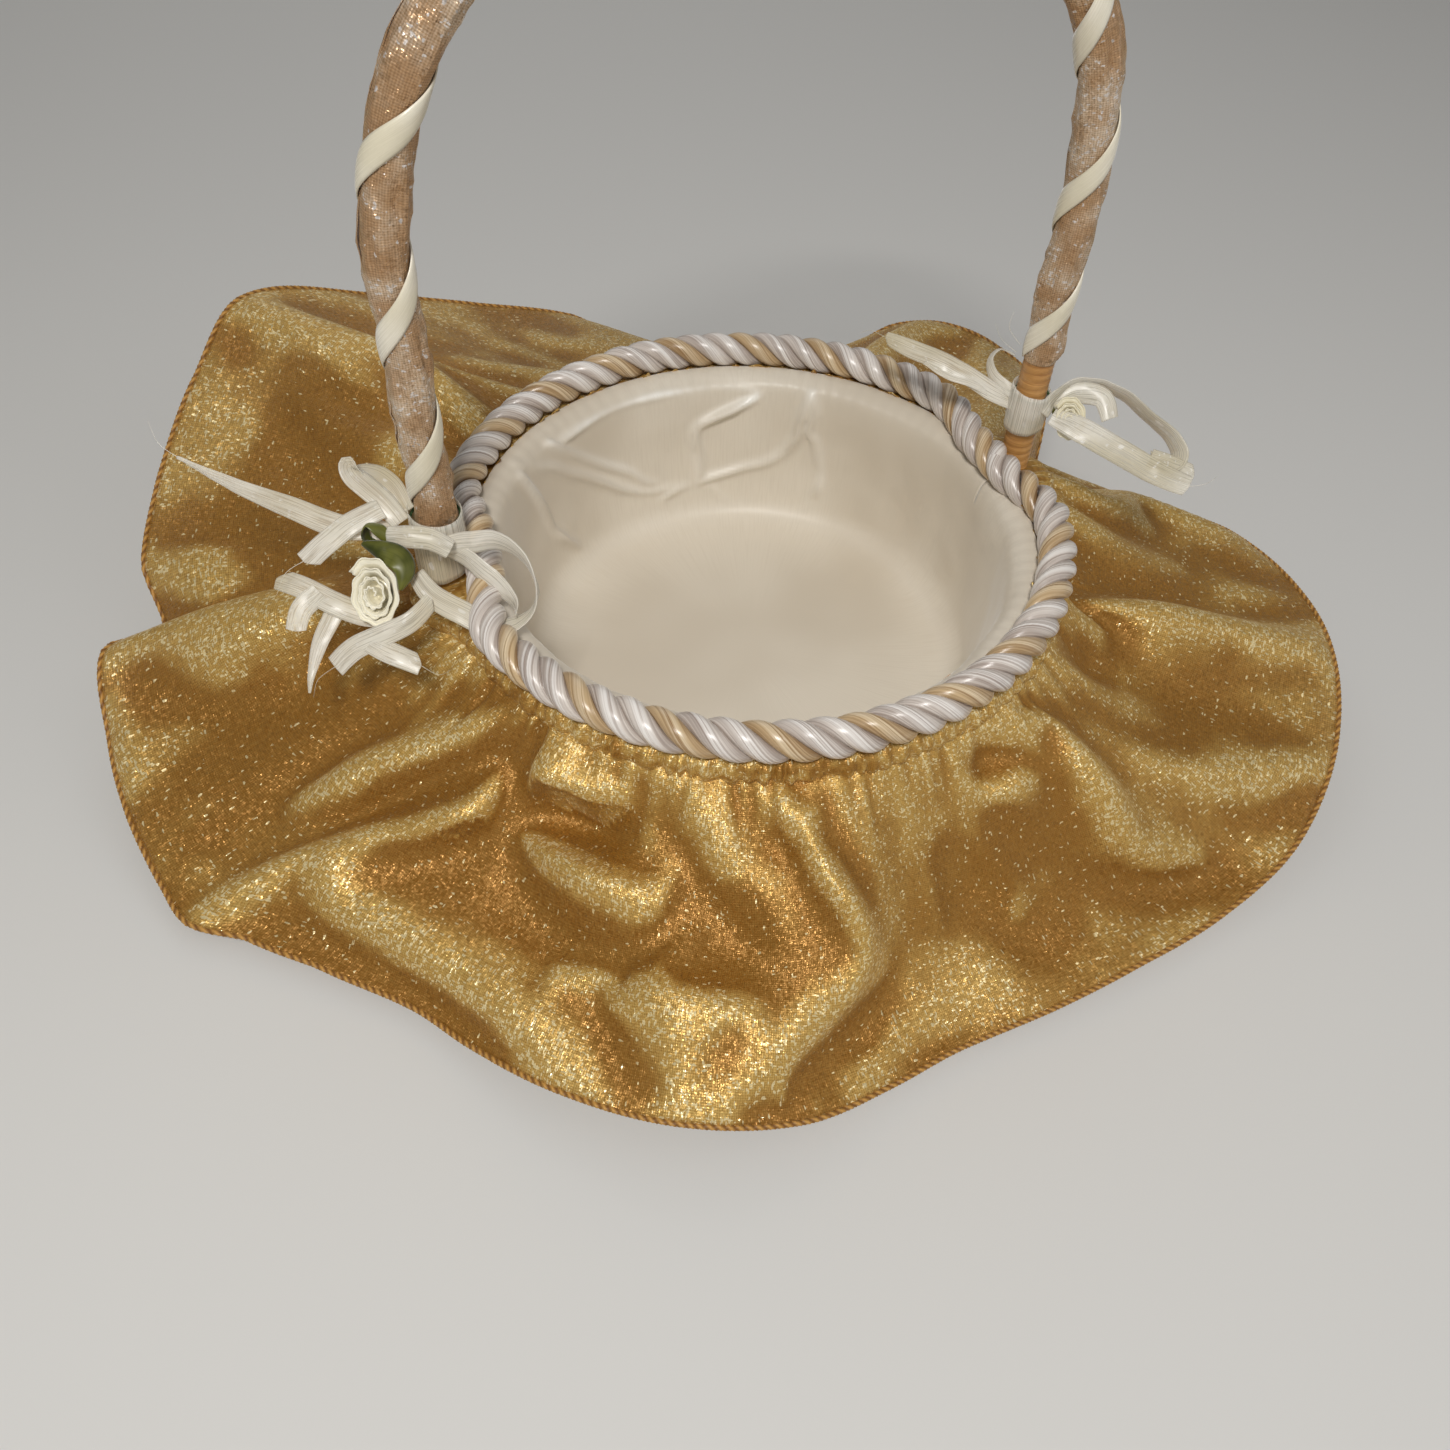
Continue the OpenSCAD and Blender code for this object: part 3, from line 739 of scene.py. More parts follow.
@dataclass
class Lining:
    """The satin that fills the basket, and the wadding under its floor."""

    # Radius and height, from the floor's middle to the lip under the cord
    profile: tuple[Row, ...] = (
        (0, 16.9), (20, 16.9), (40, 16.8), (50, 17.0), (56, 18.2), (59.6, 21.5), (61.2, 27), (62.2, 34),
        (63.0, 42), (63.7, 50), (64.3, 55.5), (65.3, 59.2), (67.0, 61.1), (69.2, 62.1), (71.6, 62.3),
    )
    # Each crease: its height, its half width, and the points that it runs through
    creases: tuple[tuple[float, float, tuple[Row, ...]], ...] = (
        (2.9, 1.4, ((-37, 54, 58), (-22, 60, 60), (-6, 64, 60), (12, 62, 60), (22, 59, 58),
                    (18, 61, 54), (12, 63, 51),
                    (6, 64, 48), (5, 63, 44), (6, 63, 39), (6, 62, 34), (6, 62, 29))),
        (3.1, 1.5, ((6, 62, 29), (13, 61, 31), (20, 60, 33), (26, 58, 35), (31, 56, 39), (34, 54, 45),
                    (35, 54, 50),
                    (36, 53, 55), (37, 53, 60))),
        (2.8, 1.4, ((37, 53, 59), (38, 52, 54), (37, 52, 48), (39, 51, 44), (40, 50, 39), (41, 49, 34),
                    (40, 48, 29),
                    (39, 49, 25), (37, 50, 21), (32, 53, 18), (27, 55, 17), (22, 57, 17), (18, 59, 19),
                    (13, 61, 23),
                    (9, 62, 27))),
        (2.9, 1.4, ((2, 63, 28), (-3, 62, 27), (-6, 62, 25), (-5, 62, 21), (-8, 60, 18), (-14, 58, 17),
                    (-21, 56, 17),
                    (-28, 54, 18), (-34, 52, 20), (-38, 49, 25), (-42, 46, 31), (-45, 45, 36),
                    (-46, 44, 41),
                    (-47, 43, 46), (-48, 42, 50), (-50, 40, 56), (-52, 40, 59))),
        (3.0, 1.4, ((0, 63, 28), (-11, 62, 29), (-19, 60, 33), (-25, 58, 38), (-31, 56, 43), (-37, 53, 48),
                    (-42, 50, 53), (-48, 46, 57), (-53, 43, 60))),
        (2.5, 1.3, ((-8, 63, 31), (-12, 62, 33), (-17, 61, 38), (-24, 59, 43), (-30, 57, 48), (-36, 54, 54),
                    (-41, 51, 60))),
        (0.5, 4.5, ((45, 38, 17), (55, 26, 19), (60, 8, 20), (60, -11, 19))),
        (0.7, 6.0, ((60, 4, 30), (64, -8, 45), (66, -12, 57))),
        (0.6, 5.0, ((52, 34, 24), (54, 34, 40), (53, 38, 56))),
    )
    counts: tuple[int, int] = (396, 124)
    pleats: int = 96
    pleat_h: float = 0.1
    thickness: float = 0.5
    narrow: float = 3.0  # a crease with a half width under this gets a painted highlight
    pad_r: float = 58.9
    pad_z: tuple[float, float] = (10.8, 14.8)
    trees: list[tuple[KDTree, list[tuple[Vector, int, float]]]] = field(default_factory=list, init=False)

    def surface(self) -> Shape:
        """Works out the lining's shape, with its creases, soft hollows and the gathers under the cord.

        Returns:
            The shape, for a patch.
        """
        places: list[tuple[Vector, int, float]] = []
        for k, (_, _, points) in enumerate(self.creases):
            for i in range(len(points) * 12):
                t = i / (len(points) * 12 - 1)
                places.append((Vector(spline(points, t)), k, math.sin(math.pi * (0.08 + 0.84 * t)) ** 0.5))
        self.trees = []
        for k in range(len(self.creases)):
            own = [p for p in places if p[1] == k]
            tree = KDTree(len(own))
            for i, (p, _, _) in enumerate(own):
                tree.insert(p, i)
            tree.balance()
            self.trees.append((tree, own))

        def shape(u: float, v: float) -> Vector:
            """The lining's face.

            Args:
                u: Share of the way round.
                v: Share of the way from the floor's middle to the lip.

            Returns:
                The point in millimetres.
            """
            r, z = spline(self.profile, v)
            ahead = spline(self.profile, min(v + 0.01, 1.0))
            behind = spline(self.profile, max(v - 0.01, 0.0))
            slope = Vector((ahead[0] - behind[0], ahead[1] - behind[1])).normalized()
            p = polar(r, 360 * u, z)
            lift = 0.0
            for (tree, own), (height, width, _) in zip(self.trees, self.creases):
                _, i, d = tree.find(p)
                if d < width * 3.5:
                    lift = max(lift, height * own[i][2] * math.exp(-((d / width) ** 2)))
            soft = noise.noise(p * 0.045) * 0.9 + noise.noise(p * 0.11 + Vector((9, 3, 5))) * 0.35
            wall = fade((v - 0.38) / 0.12) * (1 - fade((v - 0.93) / 0.05))
            lift += soft * (0.35 + 0.65 * wall) * (1 - fade((v - 0.8) / 0.12)) * fade(r / 12)
            pull = fade((v - 0.62) / 0.3) * (1 - fade((v - 0.97) / 0.03))
            wobble = noise.noise(Vector((u * 17, 1.5, 0))) * 4
            strong = 1 + 1.6 * math.exp(-(((360 * u - 56) / 9) ** 2))
            lift += self.pleat_h * strong * pull * (1 + math.sin(math.tau * u * self.pleats + wobble))
            inwards = Vector((-slope.y, slope.x))
            away = polar(1, 360 * u, 0)
            return p + away * (inwards.x * lift) + Vector((0, 0, inwards.y * lift))

        return shape

    def note_creases(self, piece: bpy.types.Object) -> None:
        """Stores how close each vertex is to a narrow crease, where the satin paints a highlight and lowers
        its roughness.

        Args:
            piece: The lining.
        """
        layer = piece.data.attributes.new("crease", "FLOAT", "POINT")
        for i, vertex in enumerate(piece.data.vertices):
            near = 0.0
            for (tree, own), (height, width, _) in zip(self.trees, self.creases):
                _, k, d = tree.find(vertex.co / MM)
                if width < self.narrow:
                    near = max(near, own[k][2] * math.exp(-((d / width) ** 2)))
            layer.data[i].value = near

    def build(self) -> None:
        """Makes the lining and the wadding."""
        maker = Mesher("satin_lining")
        maker.patch(self.counts, self.surface(), (math.tau * 60, 112))
        lining = maker.finish(merge=True)
        self.face_upwards(lining)
        self.note_creases(lining)
        thicken(lining, self.thickness, -1.0)
        settle(lining, LINING, "satin_lining", "lining_floor", "lining_wall")

        low, high = self.pad_z
        rounded = (
            (0, low), (40, low), (56, low), (58.2, low + 0.5), (self.pad_r, low + 2), (58.2, high - 0.5),
            (55, high), (30, high + 0.25), (0, high + 0.3),
        )
        maker = Mesher("wadding_pad")

        def pad(u: float, v: float) -> Vector:
            """The pad's skin.

            Args:
                u: Share of the way round.
                v: Share of the way from the underside's middle to the top's.

            Returns:
                The point in millimetres.
            """
            r, z = spline(rounded, v)
            p = polar(max(r, 0), 360 * u, z)
            return p + Vector((0, 0, noise.noise(p * 0.2) * 0.15 * fade(v * 3 - 1.5)))

        maker.patch((96, 40), pad, (360, 130))
        wadding = maker.finish(merge=True, outwards=True)
        settle(wadding, WADDING, "wadding", "floor_pad")

    def face_upwards(self, piece: bpy.types.Object) -> None:
        """Turns the sheet's faces up and inwards.

        Args:
            piece: The lining.
        """
        middle = min(piece.data.polygons, key=lambda p: p.center.xy.length)
        if middle.normal.z < 0:
            piece.data.flip_normals()


# ---- Cord on the rim


@dataclass
class Cord:
    """The three-strand cord on the rim."""

    turns: int = 22
    orbit: float = 2.55  # from the cord's middle to a strand's
    radius: float = 2.25
    gold_radius: float = 2.1
    rings_per_turn: int = 26
    sides: int = 18

    def axis(self, v: float) -> Vector:
        """The middle of the cord, which dips in behind each leg.

        Args:
            v: Share of the way round.

        Returns:
            The point in millimetres.
        """
        a = -360 * v
        wave = 0.25 * noise.noise(polar(2.2, a, 4))
        return polar(RIM.cord_r - RIM.dip * RIM.near_leg(a, 4, 24) + wave, a, RIM.cord_z + wave)

    def centre(self, phase: float, v: float) -> Vector:
        """A strand's middle.

        Args:
            phase: Where the strand lies in the cord, in degrees.
            v: Share of the way round.

        Returns:
            The point in millimetres.
        """
        turn = math.radians(phase + 360 * self.turns * v)
        a = self.axis(v)
        out = Vector((a.x, a.y, 0)).normalized()
        return a + self.orbit * (math.cos(turn) * out + math.sin(turn) * Vector((0, 0, 1)))

    def strand(self, name: str, phase: float, radius: float, finish: Finish, slot: str, node: str) -> None:
        """Sweeps one strand.

        Args:
            name: The piece's name.
            phase: Where the strand lies in the cord, in degrees.
            radius: The strand's radius.
            finish: Its finish.
            slot: The record's slot.
            node: The CAD node that it stands for.
        """
        step = 0.0003

        def skin(u: float, v: float) -> Vector:
            """The strand's skin.

            Args:
                u: Share of the way round the strand.
                v: Share of the way along it.

            Returns:
                The point in millimetres.
            """
            c = self.centre(phase, v)
            along = (self.centre(phase, v + step) - self.centre(phase, v - step)).normalized()
            out = (c - self.axis(v)).normalized()
            side = along.cross(out).normalized()
            b = math.tau * u
            swell = 1 + 0.03 * noise.noise(round_noise(v, 30, phase))
            return c + radius * swell * (math.cos(b) * out + math.sin(b) * 1.06 * side)

        length = self.turns * math.hypot(math.tau * self.orbit, math.tau * RIM.cord_r / self.turns)
        maker = Mesher(name)
        maker.patch((self.sides, self.turns * self.rings_per_turn), skin, (math.tau * radius, length))
        piece = maker.finish(merge=True, outwards=True)
        # outer: 1 on the side facing out of the cord, 0 where the strands meet; the finish paints shade and a
        # highlight from it
        layer = piece.data.attributes.new("outer", "FLOAT", "POINT")
        uv = piece.data.uv_layers[0].data
        for loop in piece.data.loops:
            around = uv[loop.index].uv[0] / (radius * MM)
            layer.data[loop.vertex_index].value = 0.5 + 0.5 * math.cos(around)
        settle(piece, finish, slot, node)

    def build(self) -> None:
        """Makes the two white strands and the gold one."""
        self.strand("white_strand_a", 0, self.radius, WHITE_STRAND, "white_cord", "rope_strand_white_a")
        self.strand("white_strand_b", 120, self.radius, WHITE_STRAND, "white_cord", "rope_strand_white_b")
        self.strand("gold_strand", 240, self.gold_radius, GOLD_STRAND, "champagne_cord", "rope_strand_gold")


# ---- Ruffle


@dataclass
class Ruffle:
    """The wide gathered ruffle, its gathered top edge under the cord, and its hem."""

    # The hem: angle, radius and height, anticlockwise from +X
    hem: tuple[Row, ...] = (
        (2, 166, 15), (10, 161, 9), (18, 154, 4), (24, 138, 4), (31, 166, 18), (39, 172, 26), (46, 173, 28),
        (52, 171, 24), (56, 166, 16), (62, 156, 6), (72, 152, 5), (84, 164, 11), (92, 171, 25),
        (103, 175, 35),
        (113, 178, 47), (129, 180, 66), (137, 179, 54), (147, 176, 38), (155, 172, 27), (160, 164, 16),
        (166, 172, 26), (173, 171, 14), (181, 167, 9), (188, 163, 5), (193, 160, 4), (197, 150, 4),
        (204, 140, 4),
        (214, 132, 4), (222, 132, 5), (232, 135, 10), (245, 138, 14), (256, 135, 10), (265, 128, 5),
        (274, 124, 4),
        (285, 126, 4), (297, 132, 4), (308, 142, 4), (319, 154, 8), (330, 162, 15), (342, 167, 20),
        (352, 168, 19),
    )
    # Hollows (below 0) and folds (above 0): angle, share of the cut, lift, half angle, half share, slant
    folds: tuple[Row, ...] = (
        (143, 0.52, -12, 13, 0.20, 0), (134, 0.16, -5, 3, 0.12, 0), (126, 0.28, 6, 3, 0.2, 0),
        (152, 0.20, 6, 3, 0.2, 0),
        (199, 0.45, -9, 4, 0.42, -14), (207, 0.46, 8, 4, 0.35, -14), (211, 0.24, -6, 3, 0.10, 0),
        (224, 0.29, -10, 8, 0.07, 0), (225, 0.44, 9, 13, 0.06, 0), (222, 0.14, 7, 10, 0.06, 0),
        (230, 0.60, -8, 15, 0.09, 0),
        (247, 0.47, -12, 7, 0.15, 6), (240, 0.70, 6, 9, 0.12, 8), (254, 0.22, -6, 6, 0.09, 0),
        (261, 0.38, 10, 3, 0.3, 8),
        (262, 0.80, -6, 3, 0.15, 10), (283, 0.52, -12, 9, 0.17, -8), (291, 0.17, -6, 5, 0.07, 0),
        (293, 0.30, 6, 6, 0.07, 0),
        (304, 0.45, 8, 4, 0.3, 0), (325, 0.24, -8, 6, 0.09, 0), (338, 0.45, 6, 6, 0.2, 0),
        (355, 0.4, -7, 5, 0.3, 0),
        (15, 0.4, -7, 5, 0.3, 0), (38, 0.36, -6, 6, 0.2, 0), (58, 0.4, -8, 4, 0.35, 0),
        (75, 0.4, 7, 5, 0.3, 0),
        (98, 0.27, -6, 5, 0.15, 0), (112, 0.45, -6, 5, 0.3, 0), (172, 0.40, 7, 4, 0.35, 0),
        (183, 0.55, -8, 5, 0.3, 0),
        (162, 0.5, -8, 3, 0.4, 0),
    )
    around: int = 336
    rings: int = 26
    bulge: float = 9.0  # how far the cloth arches between its edges
    top_z: float = 55.2
    low_z: float = 3.4  # least height of the hem's middle
    cut: float = 100.0
    slack: float = 1.05  # cut depth over the straight way from the stitching to the hem
    cut_length: float = 1080.0
    top_r: float = 78.0
    pleats: int = 84
    scale: float = 10.0  # the cloth settles this many times as large as life
    frames: int = 26
    depth: float = 0.68  # share of the folds' heights that the draft takes
    floor: float = 0.9  # least height of the cloth
    thickness: float = 0.25
    hem_r: float = 0.62
    heading_pleats: tuple[int, int] = (118, 61)
    # The gathered top edge: radius and height, from inside the cord down to the stitching
    heading_path: tuple[Row, ...] = (
        (71.9, 61.7), (72.2, 61.3), (73.2, 61.25), (75.6, 61.0), (78.0, 59.2), (78.6, 56.6),
        (77.6, 54.2), (76.6, 51.8),
    )
    at: list[tuple[float, float]] = field(default_factory=list, init=False)

    def edge(self, degrees: float) -> tuple[float, float]:
        """The hem's place at an angle.

        Args:
            degrees: The angle round the basket.

        Returns:
            Its radius and height.
        """
        a = (degrees - self.hem[0][0]) % 360 + self.hem[0][0]
        n = len(self.hem)
        i = max(k for k in range(n) if self.hem[k][0] <= a)
        following = self.hem[(i + 1) % n]
        gap = (following[0] - self.hem[i][0]) % 360
        r, z = spline([row[1:] for row in self.hem], (i + (a - self.hem[i][0]) / gap) / n, closed=True)
        return r, max(z, self.low_z)

    def draft(self, u: float, v: float) -> Vector:
        """The ruffle before it settles.

        Args:
            u: Share of the way round.
            v: Share of the way from the stitching under the cord to the hem.

        Returns:
            The point in millimetres.
        """
        a = 360 * u
        r1, z1 = self.edge(a)
        r0 = RIM.heading_r + 8.2 * RIM.near_leg(a, 4, 14)
        arc = self.bulge * math.sin(math.pi * v)
        lift = 0.0
        for angle, share, height, half_a, half_v, slant in self.folds:
            off = (a - angle - slant * (v - share) * 2 + 180) % 360 - 180
            if abs(off) < half_a * 3:
                lift += self.depth * height * math.exp(-((off / half_a) ** 2) - ((v - share) / half_v) ** 2)
        lift += 1.6 * noise.noise(round_noise(u, 5, v * 3))
        lift *= fade(v / 0.12) * fade((1 - v) / 0.15)
        z = self.top_z + (z1 - self.top_z) * v + arc + lift
        return polar(r0 + (r1 - r0) * v + arc * 0.4 + lift * 0.35, a, z)

    def reach(self, degrees: float) -> float:
        """How far the hem is from the stitching, evened out over its neighbours.

        Args:
            degrees: The angle round the basket.

        Returns:
            The distance.
        """
        near = [self.edge(degrees + 5 * k) for k in range(-3, 4)]
        return sum(math.hypot(r - RIM.heading_r, z - self.top_z) for r, z in near) / len(near)

    def cone(self, u: float, v: float) -> Vector:
        """The cloth's own size, as a cone that holds its cut and its hem's length.

        Args:
            u: Share of the way round.
            v: Share of the way from the stitching to the hem.

        Returns:
            The point in millimetres.
        """
        hem_r = self.cut_length / math.tau
        spread = hem_r - self.top_r
        drop = math.sqrt(max(self.slack * self.reach(360 * u), spread + 2) ** 2 - spread**2)
        return polar(self.top_r + spread * v, 360 * u, -drop * v)

    def relax(self, piece: bpy.types.Object) -> None:
        """Lets the slack of the cloth buckle between its held edges.

        Args:
            piece: The draft sheet, which keeps the result.
        """
        mesh = piece.data
        grow = self.scale
        piece.shape_key_add(name="draft")
        rest = piece.shape_key_add(name="rest")
        places = self.read_places(piece)
        for i, (u, v) in enumerate(places):
            rest.data[i].co = self.cone(u, v) * MM * grow
            mesh.shape_keys.key_blocks["draft"].data[i].co = mesh.vertices[i].co * grow
            mesh.vertices[i].co = mesh.vertices[i].co * grow
        held = piece.vertex_groups.new(name="held")
        for i, (_, v) in enumerate(places):
            grip = 1.0 if v < 0.001 or v > 0.999 else 0.0
            held.add([i], grip, "REPLACE")
        guards = [self.guard_body(), self.guard_floor()]
        cloth = piece.modifiers.new("Cloth", "CLOTH")
        own = cloth.settings
        own.quality = 7
        own.mass = 0.25
        own.air_damping = 3.0
        own.tension_stiffness = own.compression_stiffness = 18.0
        own.shear_stiffness = 4.0
        own.bending_stiffness = 6.0
        own.tension_damping = own.compression_damping = 8.0
        own.bending_damping = 1.0
        own.vertex_group_mass = "held"
        own.rest_shape_key = rest
        own.effector_weights.gravity = 0.35
        cloth.collision_settings.distance_min = 0.012
        cloth.collision_settings.collision_quality = 3
        cloth.point_cache.frame_start = 1
        cloth.point_cache.frame_end = self.frames + 1
        scene = bpy.context.scene
        for step in range(1, self.frames + 1):
            scene.frame_set(step)
        seen = piece.evaluated_get(bpy.context.evaluated_depsgraph_get())
        settled = [v.co.copy() / grow for v in seen.data.vertices]
        piece.modifiers.remove(cloth)
        piece.shape_key_clear()
        piece.vertex_groups.clear()
        for vertex, co in zip(mesh.vertices, settled):
            vertex.co = co
        scene.frame_set(1)
        for guard in guards:
            bpy.data.objects.remove(guard)
        LOG.info("ruffle settled in %d frames", self.frames)

    def guard_body(self) -> bpy.types.Object:
        """Makes a stand-in for the basket's wall that the cloth can't pass.

        Returns:
            The stand-in.
        """
        maker = Mesher("guard_body")
        wall = ((73.0, 2), (73.8, 40), (74.6, 56), (73.8, 60))

        def side(u: float, v: float) -> Vector:
            """The wall's outside, round it and up it."""
            r, z = spline(wall, v)
            return polar(r, 360 * u, z) * self.scale

        maker.patch((72, 12), side, (1, 1))
        return self.guard(maker.finish(merge=True, outwards=True))

    def guard_floor(self) -> bpy.types.Object:
        """Makes a stand-in for the table.

        Returns:
            The stand-in.
        """
        maker = Mesher("guard_floor")
        width, height = 500, 0.6

        def top(u: float, v: float) -> Vector:
            """The table's top."""
            return Vector(((u - 0.5) * width, (v - 0.5) * width, height)) * self.scale

        maker.patch((8, 8), top, (1, 1))
        return self.guard(maker.finish())

    def guard(self, piece: bpy.types.Object) -> bpy.types.Object:
        """Makes a stand-in solid to the cloth.

        Args:
            piece: The stand-in.

        Returns:
            The same object.
        """
        solid = piece.modifiers.new("Collision", "COLLISION")
        solid.settings.thickness_outer = 0.02
        return piece

    def gather(self, piece: bpy.types.Object) -> None:
        """Adds the small pleats that run down from the stitching.

        Args:
            piece: The settled sheet, already subdivided.
        """
        mesh = piece.data
        normals = [v.normal.copy() for v in mesh.vertices]
        for vertex, normal in zip(mesh.vertices, normals):
            u, v = self.at[vertex.index]
            wander = 2.6 * noise.noise(round_noise(u, 6, 2))
            lean = noise.noise(round_noise(u, 9, 7))
            wave = math.sin(math.tau * u * self.pleats + wander * 4 + lean * v * 30)
            own = 0.5 + 0.5 * noise.noise(round_noise(u, 14, 5))
            long = math.sin(math.tau * u * self.pleats / 4 + wander * 2 + lean * v * 12)
            size = 0.75 * own * fade(v / 0.02) * (1 - fade(v / (0.12 + 0.35 * own)))
            size_long = 0.7 * own * fade(v / 0.06) * (1 - fade(v / 0.45))
            vertex.co += normal * ((wave * size + long * size_long) * MM)
            vertex.co.z = max(vertex.co.z, self.floor * MM)

    def note_folds(self, piece: bpy.types.Object) -> None:
        """Stores how far each vertex stands out of its surroundings, less the hollows' depth; from it the
        organza paints highlights and glints on the raised folds and shade in the hollows.

        Args:
            piece: The final sheet.
        """
        mesh = piece.data
        height = [v.co.copy() for v in mesh.vertices]
        around: list[list[int]] = [[] for _ in height]
        for edge in mesh.edges:
            a, b = edge.vertices
            around[a].append(b)
            around[b].append(a)
        soft = list(height)
        for _ in range(26):
            means = [sum((soft[k] for k in near), Vector()) / len(near) for near in around]
            soft = [mean * 0.7 + own * 0.3 for mean, own in zip(means, soft)]
        layer = mesh.attributes.new("fold", "FLOAT", "POINT")
        for i, vertex in enumerate(mesh.vertices):
            up = vertex.normal if vertex.normal.z > 0 else -vertex.normal
            own = 0.5 + (height[i] - soft[i]).dot(up) / (1.8 * MM)
            layer.data[i].value = min(max(own - self.hollow(*self.at[i]), 0.0), 1.0)

    def hollow(self, u: float, v: float) -> float:
        """How deep in a broad hollow a place lies, where the cloth is smooth and the organza's amber painted
        shade shows.

        Args:
            u: Share of the way round.
            v: Share of the way from the stitching to the hem.

        Returns:
            The depth, 0 outside the hollows.
        """
        hollow_shade = 0.0
        for angle, share, height, half_a, half_v, slant in self.folds:
            off = (360 * u - angle - slant * (v - share) * 2 + 180) % 360 - 180
            if height < -7 and abs(off) < half_a * 3:
                hollow_shade += 0.06 * -height * math.exp(-((off / half_a) ** 4) - ((v - share) / half_v) ** 4)
        return hollow_shade

    def build(self) -> bpy.types.Object:
        """Makes the ruffle, its hem and its gathered top edge.

        Returns:
            The ruffle, for the bows to lie on.
        """
        maker = Mesher("organza_ruffle")
        maker.patch((self.around, self.rings), self.draft, (self.cut_length, self.cut))
        piece = maker.finish(merge=True)
        self.relax(piece)
        if min(piece.data.polygons, key=lambda p: abs(p.center.y)).normal.z < 0:
            piece.data.flip_normals()
        self.refine(piece)
        self.at = self.read_places(piece)
        self.gather(piece)
        self.note_folds(piece)
        thicken(piece, self.thickness)
        settle(piece, ORGANZA, "gold_organza", "ruffle")
        hem = self.make_hem(piece)
        self.make_heading()
        return piece

    def refine(self, piece: bpy.types.Object) -> None:
        """Subdivides the settled sheet and evens it out.

        Args:
            piece: The sheet.
        """
        bm = bmesh.new()
        bm.from_mesh(piece.data)
        bmesh.ops.subdivide_edges(bm, edges=bm.edges, cuts=1, use_grid_fill=True, smooth=0.0)
        for _ in range(2):
            inner = [v for v in bm.verts if not v.is_boundary]
            bmesh.ops.smooth_vert(
                bm, verts=inner, factor=0.35, use_axis_x=True, use_axis_y=True, use_axis_z=True
            )
        bm.to_mesh(piece.data)
        bm.free()
        piece.data.shade_smooth()

    def read_places(self, piece: bpy.types.Object) -> list[tuple[float, float]]:
        """Finds each vertex's place on the cloth from the UV map.

        Args:
            piece: The sheet.

        Returns:
            Its share of the way round, and from the stitching to the hem.
        """
        mesh = piece.data
        found = [(0.0, 0.0)] * len(mesh.vertices)
        uv = mesh.uv_layers[0].data
        for loop in mesh.loops:
            at = uv[loop.index].uv
            found[loop.vertex_index] = (at[0] / self.cut_length / MM % 1.0, at[1] / self.cut / MM)
        return found

    def make_hem(self, piece: bpy.types.Object) -> bpy.types.Object:
        """Sweeps the rolled hem along the sheet's lower edge.

        Args:
            piece: The ruffle.

        Returns:
            The hem.
        """
        row = sorted((u, piece.data.vertices[i].co / MM) for i, (u, v) in enumerate(self.at) if v > 0.9995)
        rows = [tuple(co) for _, co in row]

        def skin(u: float, v: float) -> Vector:
            """The hem's skin.

            Args:
                u: Share of the way round the hem.
                v: Share of the way along it.

            Returns:
                The point in millimetres.
            """
            c = Vector(spline(rows, v, closed=True))
            along = (Vector(spline(rows, v + 0.0005, closed=True)) - c).normalized()
            out = along.cross(Vector((0, 0, 1))).normalized()
            up = out.cross(along)
            b = math.tau * u
            r = self.hem_r + 0.1 * math.sin(math.tau * v * 900 + b)
            return c + r * (math.cos(b) * out + math.sin(b) * up) + Vector((0, 0, 0.1))

        maker = Mesher("rolled_hem")
        maker.patch((8, 2700), skin, (4, self.cut_length))
        return settle(maker.finish(merge=True, outwards=True), HEM, "gold_hem", "ruffle_hem")

    def make_heading(self) -> None:
        """Makes the pinched top edge, which turns over the rim under the cord."""

        def pinch(u: float, v: float) -> Vector:
            """The gathered cloth.

            Args:
                u: Share of the way round the rim.
                v: Share of the way from the edge inside the cord to the stitching.

            Returns:
                The point in millimetres.
            """
            a = 360 * u
            close = RIM.near_leg(a, 4, 16)
            r, z = spline(self.heading_path, v)
            wander = 5 * noise.noise(round_noise(u, 7, 0))
            fine, broad = [math.tau * u * count for count in self.heading_pleats]
            pleat = math.sin(fine + wander * 3) + 0.5 * math.sin(broad + wander * 5 + v * 4)
            tuck = noise.noise(round_noise(u, 24, v * 2))
            outside = fade((v - 0.35) / 0.25)
            puff = 0.8 * tuck * fade((v - 0.5) / 0.2) * (1 - fade((v - 0.8) / 0.2))
            r += outside * (8.2 * close + 0.5 * pleat + puff)
            inside = 1 - fade(v / 0.14)
            r -= inside * 2.6 * max(tuck, 0)
            z += inside * (0.2 * pleat + 3.6 * max(tuck, 0)) - 0.9 * inside * RIM.near_leg(a, 4, 24)
            r -= (1 - outside) * RIM.dip * RIM.near_leg(a, 4, 24) * 0.25
            return polar(r, a, z)

        maker = Mesher("gathered_heading")
        maker.patch((1300, 26), pinch, (self.cut_length, 24))
        heading = maker.finish(merge=True)
        thicken(heading, 0.2)
        layer = heading.data.attributes.new("fold", "FLOAT", "POINT")
        for i, vertex in enumerate(heading.data.vertices):
            layer.data[i].value = 0.6 + 0.5 * noise.noise(vertex.co / MM * 0.5)
        settle(heading, ORGANZA, "gold_organza", "ruffle_heading")


# ---- Handle


